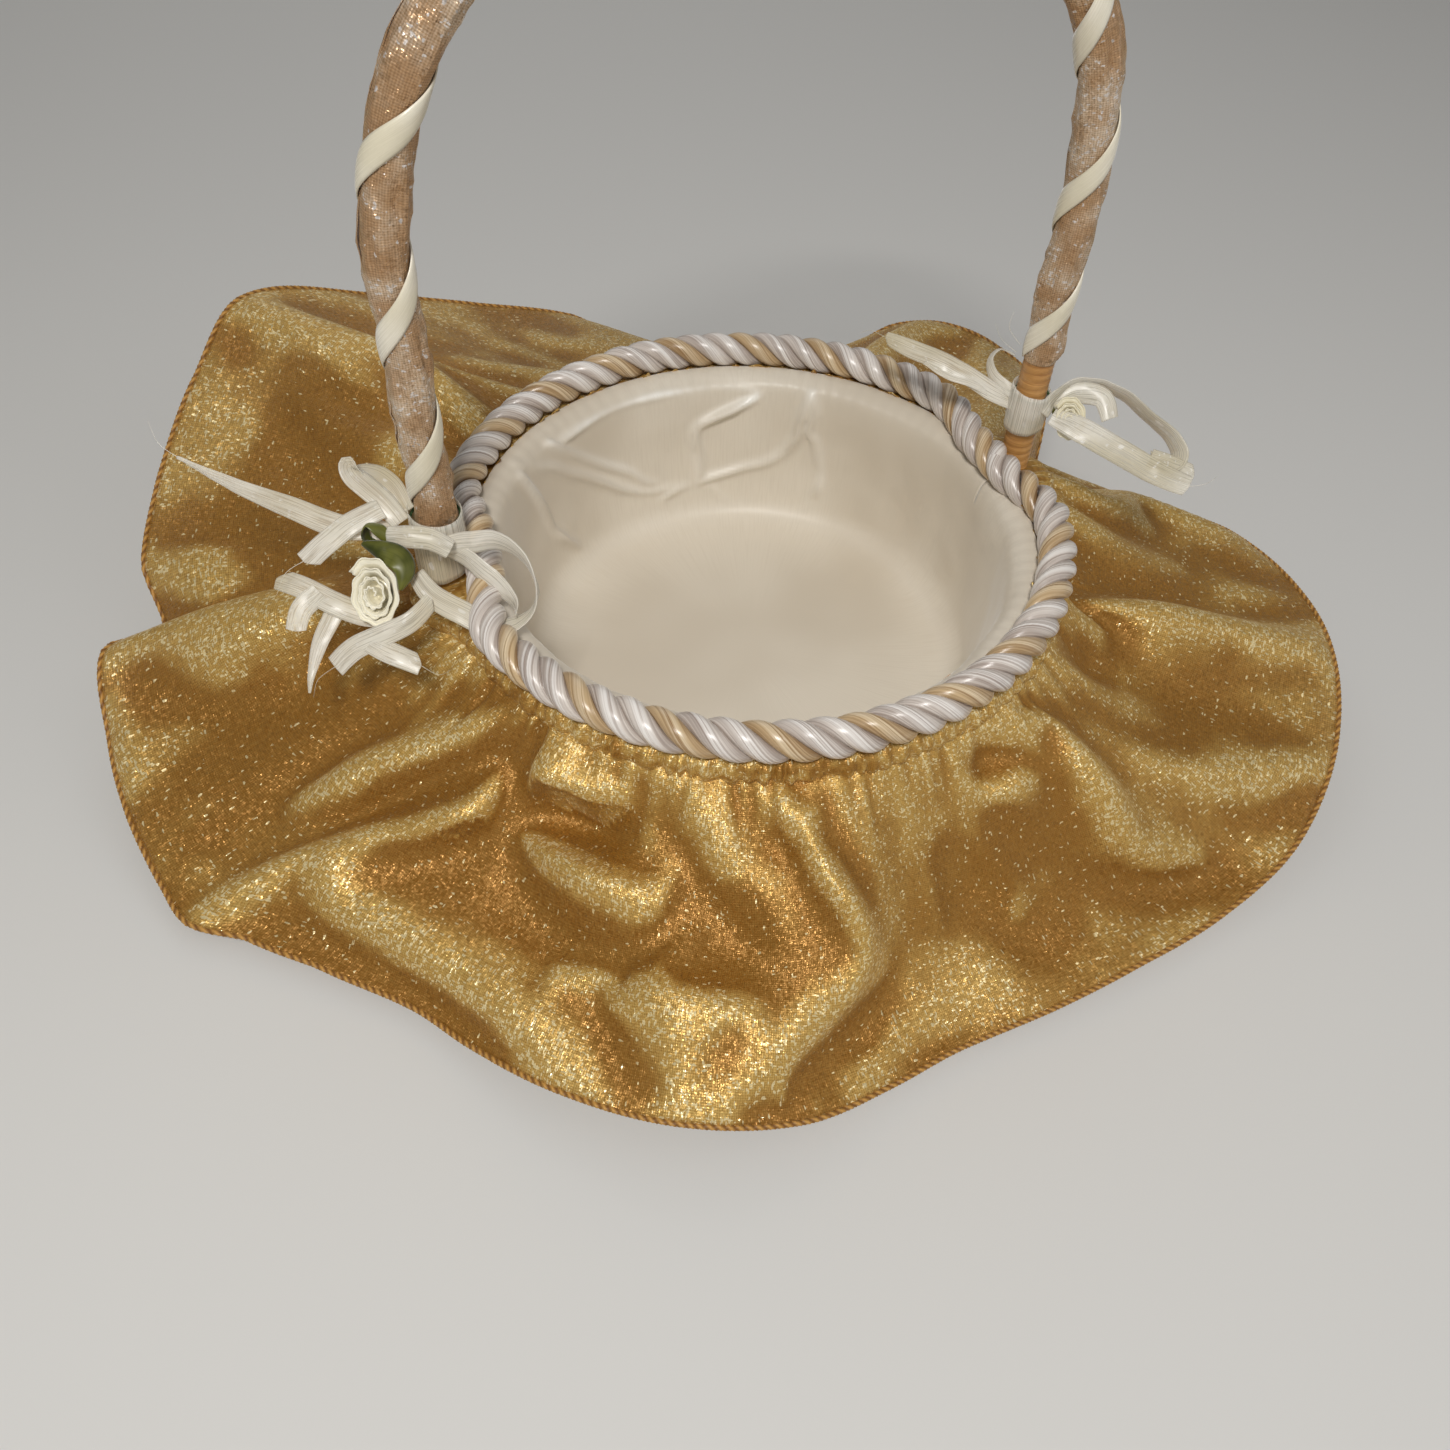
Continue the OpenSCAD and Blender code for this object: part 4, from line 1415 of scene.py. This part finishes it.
@dataclass
class Handle:
    """The handle's cane binding, organza and satin ribbon, over the CAD core."""

    bare_right: float = 27.0  # bare cane above the cord, right leg
    bare_left: float = 4.0
    pitch: float = 35.0  # of the ribbon's helix
    ribbon_w: float = 7.8
    phase: float = 120.0
    cane_pitch: float = 2.2
    cane_foot: float = 16.0
    cane_r: float = 3.78
    organza_r: float = 4.05
    ribbon_r: float = 5.05
    girth: float = 26.0  # the way round that the UV map gives the handle's tubes

    def line(self, s: float, foot: float) -> tuple[Vector, Vector]:
        """The handle's middle.

        Args:
            s: Distance from the foot of the right leg.
            foot: Height of that foot.

        Returns:
            The point, and the direction away from the arch's middle.
        """
        leg, arc = RIM.arch_z - foot, math.pi * RIM.leg_x
        if s < leg:
            return Vector((RIM.leg_x, RIM.shift, foot + s)), Vector((1, 0, 0))
        if s < leg + arc:
            a = (s - leg) / RIM.leg_x
            out = Vector((math.cos(a), 0, math.sin(a)))
            return Vector((0, RIM.shift, RIM.arch_z)) + RIM.leg_x * out, out
        return Vector((-RIM.leg_x, RIM.shift, RIM.arch_z - (s - leg - arc))), Vector((-1, 0, 0))

    def length(self, right_foot: float, left_foot: float) -> float:
        """The handle's length between two heights on its legs."""
        return 2 * RIM.arch_z - right_foot - left_foot + math.pi * RIM.leg_x

    def tube(self, name: str, feet: tuple[float, float], counts: tuple[int, int],
             radius: Callable[[float, float], float]) -> bpy.types.Object:
        """Sweeps a tube along the handle, closed round but open at both ends.

        Args:
            name: The piece's name.
            feet: Heights of the right and left ends.
            counts: Faces round and along.
            radius: The radius for an angle in degrees and a distance along.

        Returns:
            The object.
        """
        total = self.length(*feet)

        def skin(u: float, v: float) -> Vector:
            """The tube's skin.

            Args:
                u: Share of the way round the tube.
                v: Share of the way along it.

            Returns:
                The point in millimetres.
            """
            p, out = self.line(total * v, feet[0])
            b = math.tau * u
            return p + radius(360 * u, total * v) * (math.cos(b) * out + math.sin(b) * Vector((0, 1, 0)))

        maker = Mesher(name)
        maker.patch(counts, skin, (self.girth, total))
        return maker.finish(merge=True, outwards=True)

    def build(self) -> None:
        """Makes the cane, the organza and the ribbon."""
        self.make_cane()
        self.make_organza()
        self.make_ribbon()

    def make_cane(self) -> None:
        """Winds the cane binding, with a groove between its laps."""
        feet = (self.cane_foot, self.cane_foot)

        def radius(degrees: float, s: float) -> float:
            """Full on a lap's crown and lower where two laps meet.

            Args:
                degrees: The angle round the handle.
                s: Distance along it.

            Returns:
                The radius.
            """
            lap = (s / self.cane_pitch - degrees / 360) % 1.0
            crown = math.sin(math.pi * lap) ** 0.35
            return self.cane_r + 0.2 * crown + 0.05 * noise.noise(Vector((s * 0.4, degrees * 0.01, 0)))

        total = self.length(*feet)
        cane = self.tube("cane_binding", feet, (20, int(total / self.cane_pitch * 6)), radius)
        layer = cane.data.attributes.new("lap", "FLOAT", "POINT")
        uv = cane.data.uv_layers[0].data
        for loop in cane.data.loops:
            at = uv[loop.index].uv
            lap = (at[1] / MM / self.cane_pitch - at[0] / MM / self.girth) % 1.0
            layer.data[loop.vertex_index].value = 1 - math.sin(math.pi * lap) ** 0.35
        settle(cane, CANE, "cane", "handle_cane_binding")

    def make_organza(self) -> None:
        """Wraps the organza, which puffs out between the ribbon's turns."""
        feet = (RIM.cord_z + self.bare_right, RIM.cord_z + self.bare_left)
        total = self.length(*feet)

        def radius(degrees: float, s: float) -> float:
            """Pressed down under the ribbon and puffed between its turns.

            Args:
                degrees: The angle round the handle.
                s: Distance along it.

            Returns:
                The radius.
            """
            turn = ((degrees - self.phase) / 360 - s / self.pitch) % 1.0
            puff = math.sin(math.pi * turn) ** 2
            a = math.radians(degrees)
            ribs = noise.noise(Vector((math.cos(a) * 3.2, math.sin(a) * 3.2, s * 0.09 + degrees * 0.004)))
            creases = abs(noise.noise(Vector((math.cos(a) * 6, math.sin(a) * 6, s * 0.16))))
            ends = min(fade(s / 3), fade((total - s) / 3))
            swell = 0.1 + 1.0 * puff + 0.8 * ribs * (0.3 + puff) - 0.9 * creases * puff
            return self.organza_r + ends * swell

        wrap = self.tube("organza_wrap", feet, (40, 900), radius)
        layer = wrap.data.attributes.new("fold", "FLOAT", "POINT")
        for i, vertex in enumerate(wrap.data.vertices):
            layer.data[i].value = 0.4 + 0.5 * noise.noise(vertex.co / MM * 0.2)
        thicken(wrap, 0.12)
        settle(wrap, HANDLE_ORGANZA, "iridescent_organza", "handle_organza_wrap")

    def make_ribbon(self) -> None:
        """Winds the satin ribbon over the organza in one long helix."""
        foot = RIM.cord_z + self.bare_right
        total = self.length(foot, RIM.cord_z + self.bare_left)
        first = self.ribbon_w / 2 + 0.5

        def face(u: float, v: float) -> Vector:
            """The ribbon's face.

            Args:
                u: Share of the way across the ribbon.
                v: Share of the way along it.

            Returns:
                The point in millimetres.
            """
            s = first + (total - 2 * first) * v
            across = (u - 0.5) * self.ribbon_w * (1 + 0.06 * noise.noise(Vector((s * 0.12, 3, 0))))
            p, out = self.line(s + across, foot)
            a = math.radians(self.phase + 360 * s / self.pitch)
            ripple = 0.12 * noise.noise(Vector((s * 0.2, u * 2, 8)))
            crown = self.ribbon_r - 0.4 * abs(2 * u - 1) ** 3 + ripple
            return p + crown * (math.cos(a) * out + math.sin(a) * Vector((0, 1, 0)))

        turn = math.hypot(self.pitch, math.tau * 5)
        maker = Mesher("satin_wrap_ribbon")
        maker.patch((10, 560), face, (self.ribbon_w, turn * total / self.pitch))
        ribbon = maker.finish()
        thicken(ribbon, 0.25)
        settle(ribbon, WRAP_RIBBON, "ivory_ribbon", "handle_satin_wrap")


# ---- Bows


@dataclass
class Strip:
    """A length of ribbon: rows of right, up and towards the looker, turn in degrees, and width."""

    rows: tuple[Row, ...]
    steps: int = 40
    slant: float = 0.0  # how far its cut end slants, in rows
    crown: float = 0.35


@dataclass
class Bow:
    """A ribbon bow with a rosebud and leaves, drawn in a frame that faces the looker."""

    side: str
    centre: tuple[float, float, float]  # the knot's place in the basket's frame
    loops: tuple[Strip, ...]
    tails: tuple[Strip, ...]
    leaves: tuple[Strip, ...]
    bud: tuple[float, float, float]
    bud_size: float
    band_z: float
    band_r: float
    low_band: float = 0.5  # share of the band that is below band_z
    band_h: float = 10.8
    above: float = 120.0  # a height over the whole ruffle
    gap: float = 0.8  # least height of a ribbon's middle over the ruffle
    ribbon_w: float = 6.4
    seed: int = 7
    threads: tuple[tuple[Row, ...], ...] = ()
    ground: BVHTree | None = field(default=None, init=False)
    right: Vector = field(default_factory=lambda: Vector((0.9448, -0.3250, 0.0320)))
    up: Vector = field(default_factory=lambda: Vector((0.2263, 0.7207, 0.6553)))
    towards: Vector = field(default_factory=lambda: Vector((-0.2366, -0.6119, 0.7547)))

    def world(self, p: Vector) -> Vector:
        """Turns a place in the bow's frame to a place in the basket's.

        Args:
            p: The place, right, up and towards the looker.

        Returns:
            The point in millimetres, on or above the ruffle.
        """
        q = Vector(self.centre) + p.x * self.right + p.y * self.up + p.z * self.towards
        return self.clear(q)

    def clear(self, q: Vector) -> Vector:
        """Lifts a point that would lie under the ruffle onto it.

        Args:
            q: The point in millimetres.

        Returns:
            The same point, lifted if it has to be.
        """
        if self.ground is None:
            return q
        start = Vector((q.x, q.y, self.above)) * MM
        hit = self.ground.ray_cast(start, Vector((0, 0, -1)))[0]
        if hit is not None:
            q.z = max(q.z, hit.z / MM + self.gap)
        return q

    def add(self, maker: Mesher, strip: Strip) -> None:
        """Adds one strip of ribbon to a mesh.

        Args:
            maker: The mesh.
            strip: The ribbon's rows.
        """

        def face(u: float, v: float) -> Vector:
            """The ribbon's face.

            Args:
                u: Share of the way across the ribbon.
                v: Share of the way along it.

            Returns:
                The point in millimetres.
            """
            w = min(max(v + strip.slant * (u - 0.5) * 2 * v / len(strip.rows), 0), 1)
            x, y, z, turn, width = spline(strip.rows, w)
            ahead, behind = spline(strip.rows, min(w + 0.01, 1)), spline(strip.rows, max(w - 0.01, 0))
            along = Vector([a - b for a, b in zip(ahead[:3], behind[:3])])
            along = along.normalized() if along.length > 1e-6 else Vector((1, 0, 0))
            front = Vector((0, 0, 1)) - along * along.z
            front = front.normalized() if front.length > 0.05 else Vector((0, 1, 0))
            front = Matrix.Rotation(math.radians(turn), 3, along) @ front
            side = along.cross(front)
            off = (u - 0.5) * width
            ripple = 0.4 * noise.noise(Vector((x, y + 7, u * 1.5)) * 0.22)
            rise = strip.crown * (1 - (2 * u - 1) ** 2) + ripple
            return self.world(Vector((x, y, z)) + side * off + front * rise)

        a, b = Vector(strip.rows[0][:3]), Vector(strip.rows[-1][:3])
        maker.patch((10, strip.steps), face, (self.ribbon_w, max((a - b).length, 20) * 1.4))

    def piece(self, name: str, strips: Iterable[Strip], thickness: float) -> bpy.types.Object:
        """Makes one piece of several strips.

        Args:
            name: The piece's name, without the bow's side.
            strips: The strips.
            thickness: Thickness in millimetres.

        Returns:
            The object.
        """
        maker = Mesher(f"{self.side}_{name}")
        for strip in strips:
            self.add(maker, strip)
        made = maker.finish()
        thicken(made, thickness)
        return made

    def build(self, ground: BVHTree) -> None:
        """Makes the bow.

        Args:
            ground: The ruffle, which nothing of the bow goes under.
        """
        self.ground = ground
        side = self.side
        settle(self.piece("ribbon_loops", self.loops, 0.2), RIBBON, "ivory_ribbon", f"{side}_bow_loops")
        settle(self.piece("ribbon_tails", self.tails, 0.2), RIBBON, "ivory_ribbon", f"{side}_bow_tails")
        settle(self.piece("leaf_loops", self.leaves, 0.25), LEAF, "leaf_satin", f"{side}_leaves")
        self.make_bud()
        self.make_band()
        self.make_threads()

    def make_bud(self) -> None:
        """Rolls the rosebud from one folded strip, loose outside and tight in the middle."""
        rng = random.Random(self.seed)
        wobble = [rng.uniform(-1, 1) for _ in range(9)]
        size = self.bud_size
        lean = Vector((-0.12, -0.25, 0.96)).normalized()
        east = Vector((1, 0, 0)) - lean * lean.x
        east.normalize()
        north = lean.cross(east)
        turns = 3.4

        def petal(u: float, v: float) -> Vector:
            """The folded strip.

            Args:
                u: Share of the way up from its foot.
                v: Share of the way round the bud.

            Returns:
                The point in millimetres.
            """
            a = math.tau * turns * v
            r = size * (0.07 + 0.36 * v**0.8)
            r *= 1 + 0.08 * wobble[int(v * 8)] * math.sin(math.pi * (v * 8 % 1))
            open_out = 1 + (0.22 + 0.30 * v) * fade((u - 0.45) / 0.55) - 0.45 * fade((0.45 - u) / 0.45)
            lip = math.sin(math.pi * min(u / 0.92, 1)) if u > 0.8 else 1
            height = size * (0.62 * (u - 0.5) + 0.10 * (1 - v)) - size * 0.10 * (1 - lip)
            frill = 0.02 * size * math.sin(a * 9 + 3 * u) * fade((u - 0.6) / 0.3)
            flat = r * open_out + frill
            p = Vector(self.bud) + east * (flat * math.cos(a) * 0.86) + north * (flat * math.sin(a) * 1.16)
            return self.world(p + lean * height)

        maker = Mesher(f"{self.side}_rolled_rosebud")
        maker.patch((14, 170), petal, (self.ribbon_w, 90))
        foot = Vector(self.bud) - lean * (size * 0.3)

        def calyx(u: float, v: float) -> Vector:
            """The gathered foot that closes the bud from below.

            Args:
                u: Share of the way round it.
                v: Share of the way up it.

            Returns:
                The point in millimetres.
            """
            r = size * 0.34 * math.sin(math.pi * min(v, 1)) ** 0.6
            a = math.tau * u
            p = foot + east * (r * math.cos(a) * 0.9) + north * (r * math.sin(a) * 1.1)
            return self.world(p + lean * (size * 0.34 * (v - 0.5)))

        maker.patch((24, 12), calyx, (20, 8))
        bud = maker.finish(merge=True)
        thicken(bud, 0.3)
        settle(bud, BUD, "rosebud_satin", f"{self.side}_rosebud")

    def make_band(self) -> None:
        """Ties the bow's band round the leg."""
        sign = 1 if self.side == "right" else -1
        middle = Vector((sign * RIM.leg_x, RIM.shift, self.band_z))

        def wrap(u: float, v: float) -> Vector:
            """The band, creased where it is pulled tight.

            Args:
                u: Share of the way round the leg.
                v: Share of the way up it.

            Returns:
                The point in millimetres.
            """
            a = math.tau * u
            crease = 0.22 * noise.noise(Vector((math.cos(a) * 2, math.sin(a) * 2, v * 5)))
            r = self.band_r + crease - 0.1 * abs(2 * v - 1) ** 3
            lift = (v - self.low_band) * self.band_h * (1 - 0.12 * math.cos(a)) + 0.5 * math.sin(a)
            return middle + Vector((r * math.cos(a), r * math.sin(a), lift))

        maker = Mesher(f"{self.side}_knot_band")
        maker.patch((48, 10), wrap, (34, self.ribbon_w))
        band = maker.finish(merge=True)
        thicken(band, 0.3)
        settle(band, RIBBON, "ivory_ribbon", f"{self.side}_bow_band")

    def make_threads(self) -> None:
        """Adds the loose threads at the ribbon's cut ends."""
        if not self.threads:
            return
        maker = Mesher(f"{self.side}_loose_threads")
        for rows in self.threads:

            def hair(u: float, v: float, rows: tuple[Row, ...] = rows) -> Vector:
                """One thread's skin.

                Args:
                    u: Share of the way round the thread.
                    v: Share of the way along it.
                    rows: The points that it runs through.

                Returns:
                    The point in millimetres.
                """
                p = Vector(spline(rows, v))
                r = 0.09 * (1 - 0.7 * v)
                a = math.tau * u
                return self.world(p + Vector((math.cos(a) * r, math.sin(a) * r, 0)))

            maker.patch((5, 14), hair, (1, 8))
        settle(maker.finish(merge=True), RIBBON, "ivory_ribbon")


LEFT_BOW = Bow(
    side="left", centre=(-77.5, 6.0, 74.9), bud=(-11.5, -16.5, 9.0), bud_size=11.5, band_z=74.9, band_r=6.2,
    low_band=0.68, band_h=16.8,
    loops=(
        # Folded loop that stands up to the left
        Strip(((-7, 0, 6, 10, 4.5), (-11, 5, 7, 20, 5.5), (-17, 10, 7, 35, 6), (-19, 13, 6, 80, 6),
               (-15, 12.5, 4, 130, 6), (-10, 9, 4, 160, 5.5), (-6, 3, 5, 175, 4))),
        # Large open loop to the right
        Strip(((3, -5, 5, 15, 4), (9, -4.5, 7, 35, 5.5), (16, -4.5, 8, 55, 5.8), (22, -9, 8, 75, 5.8),
               (24.5, -15.5, 7, 85, 5.8), (22, -21.5, 7, 60, 5.8), (15, -24, 8, 35, 5.8),
               (8, -21, 9, 15, 5.6),
               (1, -17, 9, 5, 5.2), (-3, -12, 8, 0, 4))),
        # Inner turn of the right loop, twisted behind it
        Strip(((2, -5, 4, 25, 4), (8, -8, 5, 40, 5), (14, -13, 5, 30, 5), (19, -18, 6, 60, 5),
               (20, -22, 7, 90, 5))),
        # Small tie over the knot
        Strip(((-9, -3.5, 10, 0, 4), (-4, -4, 11.5, 5, 5), (1, -4.5, 11, 0, 5),
               (5, -6.5, 9, -10, 4.4)), crown=0.9),
    ),
    tails=(
        # Long tail to the left
        Strip(((-9, -2, 6, 20, 4.6), (-15, -1.5, 7, 15, 5.6), (-21, -1.0, 8, 5, 5.6), (-31, 3, 8, 0, 5.0),
               (-41, 7, 6, -10, 3.8), (-51, 11.5, 4, -25, 2.4), (-60, 16, 2, -40, 0.7)), steps=60),
        # Short piece to the lower left of it
        Strip(((-11, 3, 8, 10, 5), (-17, -0.5, 9.5, 5, 5.4), (-22, -4.5, 10, 0, 5.4),
               (-28, -9.5, 9, -5, 5.2)),
              slant=0.5),
        # Lower left ribbon with a fold
        Strip(((-9, -21, 5, 0, 5), (-15, -21, 6, 0, 5.4), (-22, -18.5, 7, 10, 5.4), (-29, -15, 6, 10, 5.2),
               (-36, -12.5, 4, 0, 5.0)), slant=-0.6),
        Strip(((-25, -16, 7.5, -20, 5), (-29, -20, 8, -10, 5), (-30.5, -25, 8, 0, 4.6)), slant=0.3),
        # Thin spear that points down
        Strip(((-22, -20, 6, 0, 4.5), (-25, -27, 7, 0, 3.8), (-27, -34, 7, 0, 2.0),
               (-27.6, -39, 7, 0, 0.5))),
        # Bottom ribbon, up to the right, and the end that crosses it
        Strip(((-21, -33, 9, 0, 5.2), (-16, -29, 11, 5, 5.2), (-9, -26, 12, 10, 5.0),
               (-3, -23, 12, 20, 4.6),
               (1, -18, 10, 30, 3.8)), slant=-0.4),
        Strip(((-14, -27, 11, 0, 4.6), (-8, -30, 12, -8, 5.0), (-1, -33, 11, -15, 4.6)), slant=0.5),
    ),
    leaves=(
        Strip(((-8, -5, 9.5, 0, 2.0), (-10.5, -2.5, 11, 30, 3.4), (-13, -1.5, 11, 80, 3.6),
               (-13.5, -4, 10.5, 120, 3.2),
               (-11, -6, 10.5, 150, 2.6)), crown=0.5),
        Strip(((-14, -5.5, 11, 10, 1.2), (-10, -7, 12, 5, 4.2), (-6, -9, 12.5, -20, 6.0),
               (-4.5, -12, 12.5, -20, 4.6),
               (-5.5, -16, 12, 0, 0.8)), crown=0.8),
    ),
    threads=(
        ((-60, 16, 2), (-64, 19, 3), (-66, 24, 4)), ((-28, -9, 9), (-32, -12, 10), (-34, -17, 10)),
        ((-1, -33, 11), (3, -35, 12), (6, -34, 13)), ((-21, -33, 9), (-25, -36, 9), (-26, -40, 9)),
    ),
)

RIGHT_BOW = Bow(
    side="right", centre=(77.5, 6.0, 78.7), bud=(9.5, -5.0, 4.0), bud_size=8.0, band_z=78.7, band_r=5.1,
    loops=(
        # Thin loop to the left of the leg
        Strip(((-3, 14.5, -3, 60, 3.6), (-7, 15, -2, 70, 3.6), (-9.5, 12, -1, 80, 3.6), (-9, 8, 0, 60, 3.6),
               (-6, 4.5, 1, 30, 3.4), (-3, 2.5, 1, 10, 3))),
        # Large loop to the right, seen on its edge
        Strip(((3, -3, 3, 20, 3.6), (6, 1, 4, 60, 5.4), (10.5, 4.5, 4, 76, 5.6), (16, 4.8, 4, 82, 5.6),
               (22.5, 2.5, 4, 82, 5.6), (30, -3.5, 4, 80, 5.6), (36, -9, 4, 70, 5.6),
               (38.5, -13.5, 4, 60, 5.6),
               (36, -16.8, 5, 40, 5.4), (30, -15.5, 6, 15, 5.2)), steps=64),
        # Folded ribbon under it, flat to the looker
        Strip(((5, -4, 5, 0, 4.6), (10, -7, 6.5, 0, 6.4), (16, -10.5, 7, 5, 6.6), (23, -14.5, 7, 10, 6.4),
               (29, -18, 7, 15, 6.2), (34, -20.5, 7, 5, 6.0),
               (40, -22.5, 6, -5, 5.6)), steps=60, slant=-0.3),
        # Crossing turn above the bud
        Strip(((6, 0, 2, 10, 4), (12, 2, 4, 20, 5.4), (18, 0.5, 5, 10, 5.2),
               (20, -5, 5, 0, 4.4)), crown=0.7),
    ),
    tails=(
        # Tail that lies on the cord, to the left of the leg
        Strip(((-2, 1, -2, 10, 4.6), (-8, 2.5, 1, 10, 5.2), (-15, 6.5, 2, 5, 5.2), (-23, 11, 2, 0, 5.0),
               (-31, 15, 0, -10, 4.6), (-37, 18.5, -2, -20, 3.0)), steps=50, slant=0.4),
        Strip(((-6, 2, 0, 20, 3.6), (-14, 5, 2, 25, 3.8), (-22, 8, 2, 30, 3.6),
               (-27, 11, 1, 40, 2.8)), steps=30),
        # End of the folded ribbon
        Strip(((30, -15, 6, 10, 4.6), (36, -17.5, 6, 5, 5.4),
               (41.5, -19.5, 5, 0, 5.0)), slant=0.4, steps=20),
    ),
    leaves=(
        Strip(((8.5, -1.5, 2, 0, 1.2), (11, 1.6, 3, 10, 4.0), (14, 2.4, 3.4, 10, 4.4),
               (17, 0.6, 3, 0, 1.0)), crown=0.8),
        Strip(((7, -3, 1, 0, 1), (7, 1, 2, 20, 3.4), (9.5, 3.4, 2, 30, 3.0),
               (12, 3.6, 2, 20, 0.8)), crown=0.5),
    ),
    threads=(
        ((40, -22.5, 6), (44, -22, 7), (47, -20, 7)), ((-37, 18.5, -2), (-41, 20, -1), (-44, 19, 0)),
        ((-3, 14, 0), (-7, 17, 1), (-9, 21, 2)), ((-2, 16, 0), (-5, 20, 1), (-4, 24, 2)),
    ),
)


# ---- Stage


@dataclass
class Studio:
    """The floor, the lights and the camera; the camera's eye is in millimetres and its angles in degrees."""

    eye: tuple[float, float, float] = (-90.9, -221.1, 258.7)
    pitch: float = 49.0
    roll: float = 2.8
    heading: tuple[float, float] = (0.3606, 0.9327)
    lens: float = 29.79
    # Name, place in metres, width in metres, power in watts, colour
    lamps: tuple[tuple[str, Row, float, float, str], ...] = (
        ("key", (-0.22, -0.45, 0.74), 0.14, 4.6, "#FFFDFA"),
        ("fill", (0.75, -0.55, 0.6), 0.9, 1.0, "#F6F7FF"),
        ("back", (0.1, 0.9, 0.7), 0.8, 1.1, "#FFFFFF"),
    )
    ambient: float = 0.22
    floor: float = 6000.0

    def build(self) -> None:
        """Sets up everything that isn't part of the basket."""
        self.make_floor()
        self.make_lamps()
        self.make_camera()

    def make_floor(self) -> None:
        """Lays the pale floor."""
        maker = Mesher("studio_floor")
        wide = self.floor
        maker.patch((2, 2), lambda u, v: Vector(((u - 0.5) * wide, (v - 0.5) * wide, 0)), (wide, wide))
        floor = maker.finish()
        floor.data.materials.append(Backdrop().material())

    def make_lamps(self) -> None:
        """Hangs the soft lamps and sets the room's light."""
        for name, place, width, power, colour in self.lamps:
            light = bpy.data.lights.new(name, "AREA")
            light.size = width
            light.energy = power
            light.color = linear(colour)[:3]
            lamp = bpy.data.objects.new(name, light)
            lamp.location = place
            lamp.rotation_euler = (Vector((0, 0, 0.05)) - Vector(place)).to_track_quat("-Z", "Y").to_euler()
            bpy.context.scene.collection.objects.link(lamp)
        world = bpy.data.worlds.new("room")
        world.use_nodes = True
        world.node_tree.nodes["Background"].inputs["Color"].default_value = linear("#F2F1EE")
        world.node_tree.nodes["Background"].inputs["Strength"].default_value = self.ambient
        bpy.context.scene.world = world

    def make_camera(self) -> None:
        """Places the camera by its heading, its pitch below the horizon and its roll."""
        c, s = math.cos(math.radians(self.pitch)), math.sin(math.radians(self.pitch))
        x, y = self.heading
        right, up, ahead = Vector((y, -x, 0)), Vector((x * s, y * s, c)), Vector((x * c, y * c, -s))
        k, m = math.cos(math.radians(self.roll)), math.sin(math.radians(self.roll))
        right, up = k * right + m * up, k * up - m * right
        camera = bpy.data.objects.new("camera", bpy.data.cameras.new("camera"))
        camera.data.lens = self.lens
        camera.data.clip_start = 0.01
        turned = Matrix((right, up, -ahead)).transposed().to_4x4()
        camera.matrix_world = Matrix.Translation(Vector(self.eye) * MM) @ turned
        bpy.context.scene.collection.objects.link(camera)
        bpy.context.scene.camera = camera
        bpy.context.scene.view_settings.view_transform = "Standard"


def main() -> None:
    """Builds the basket's looks in order, from the stage to the bows."""
    logging.basicConfig(level=logging.INFO, format="%(name)s: %(message)s")
    Studio().build()
    for node in Carried:
        node.dress()
    Lining().build()
    Cord().build()
    ruffle = Ruffle().build()
    Handle().build()
    graph = bpy.context.evaluated_depsgraph_get()
    ground = BVHTree.FromObject(ruffle, graph)
    for bow in (LEFT_BOW, RIGHT_BOW):
        bow.build(ground)


if __name__ == "__main__":
    main()
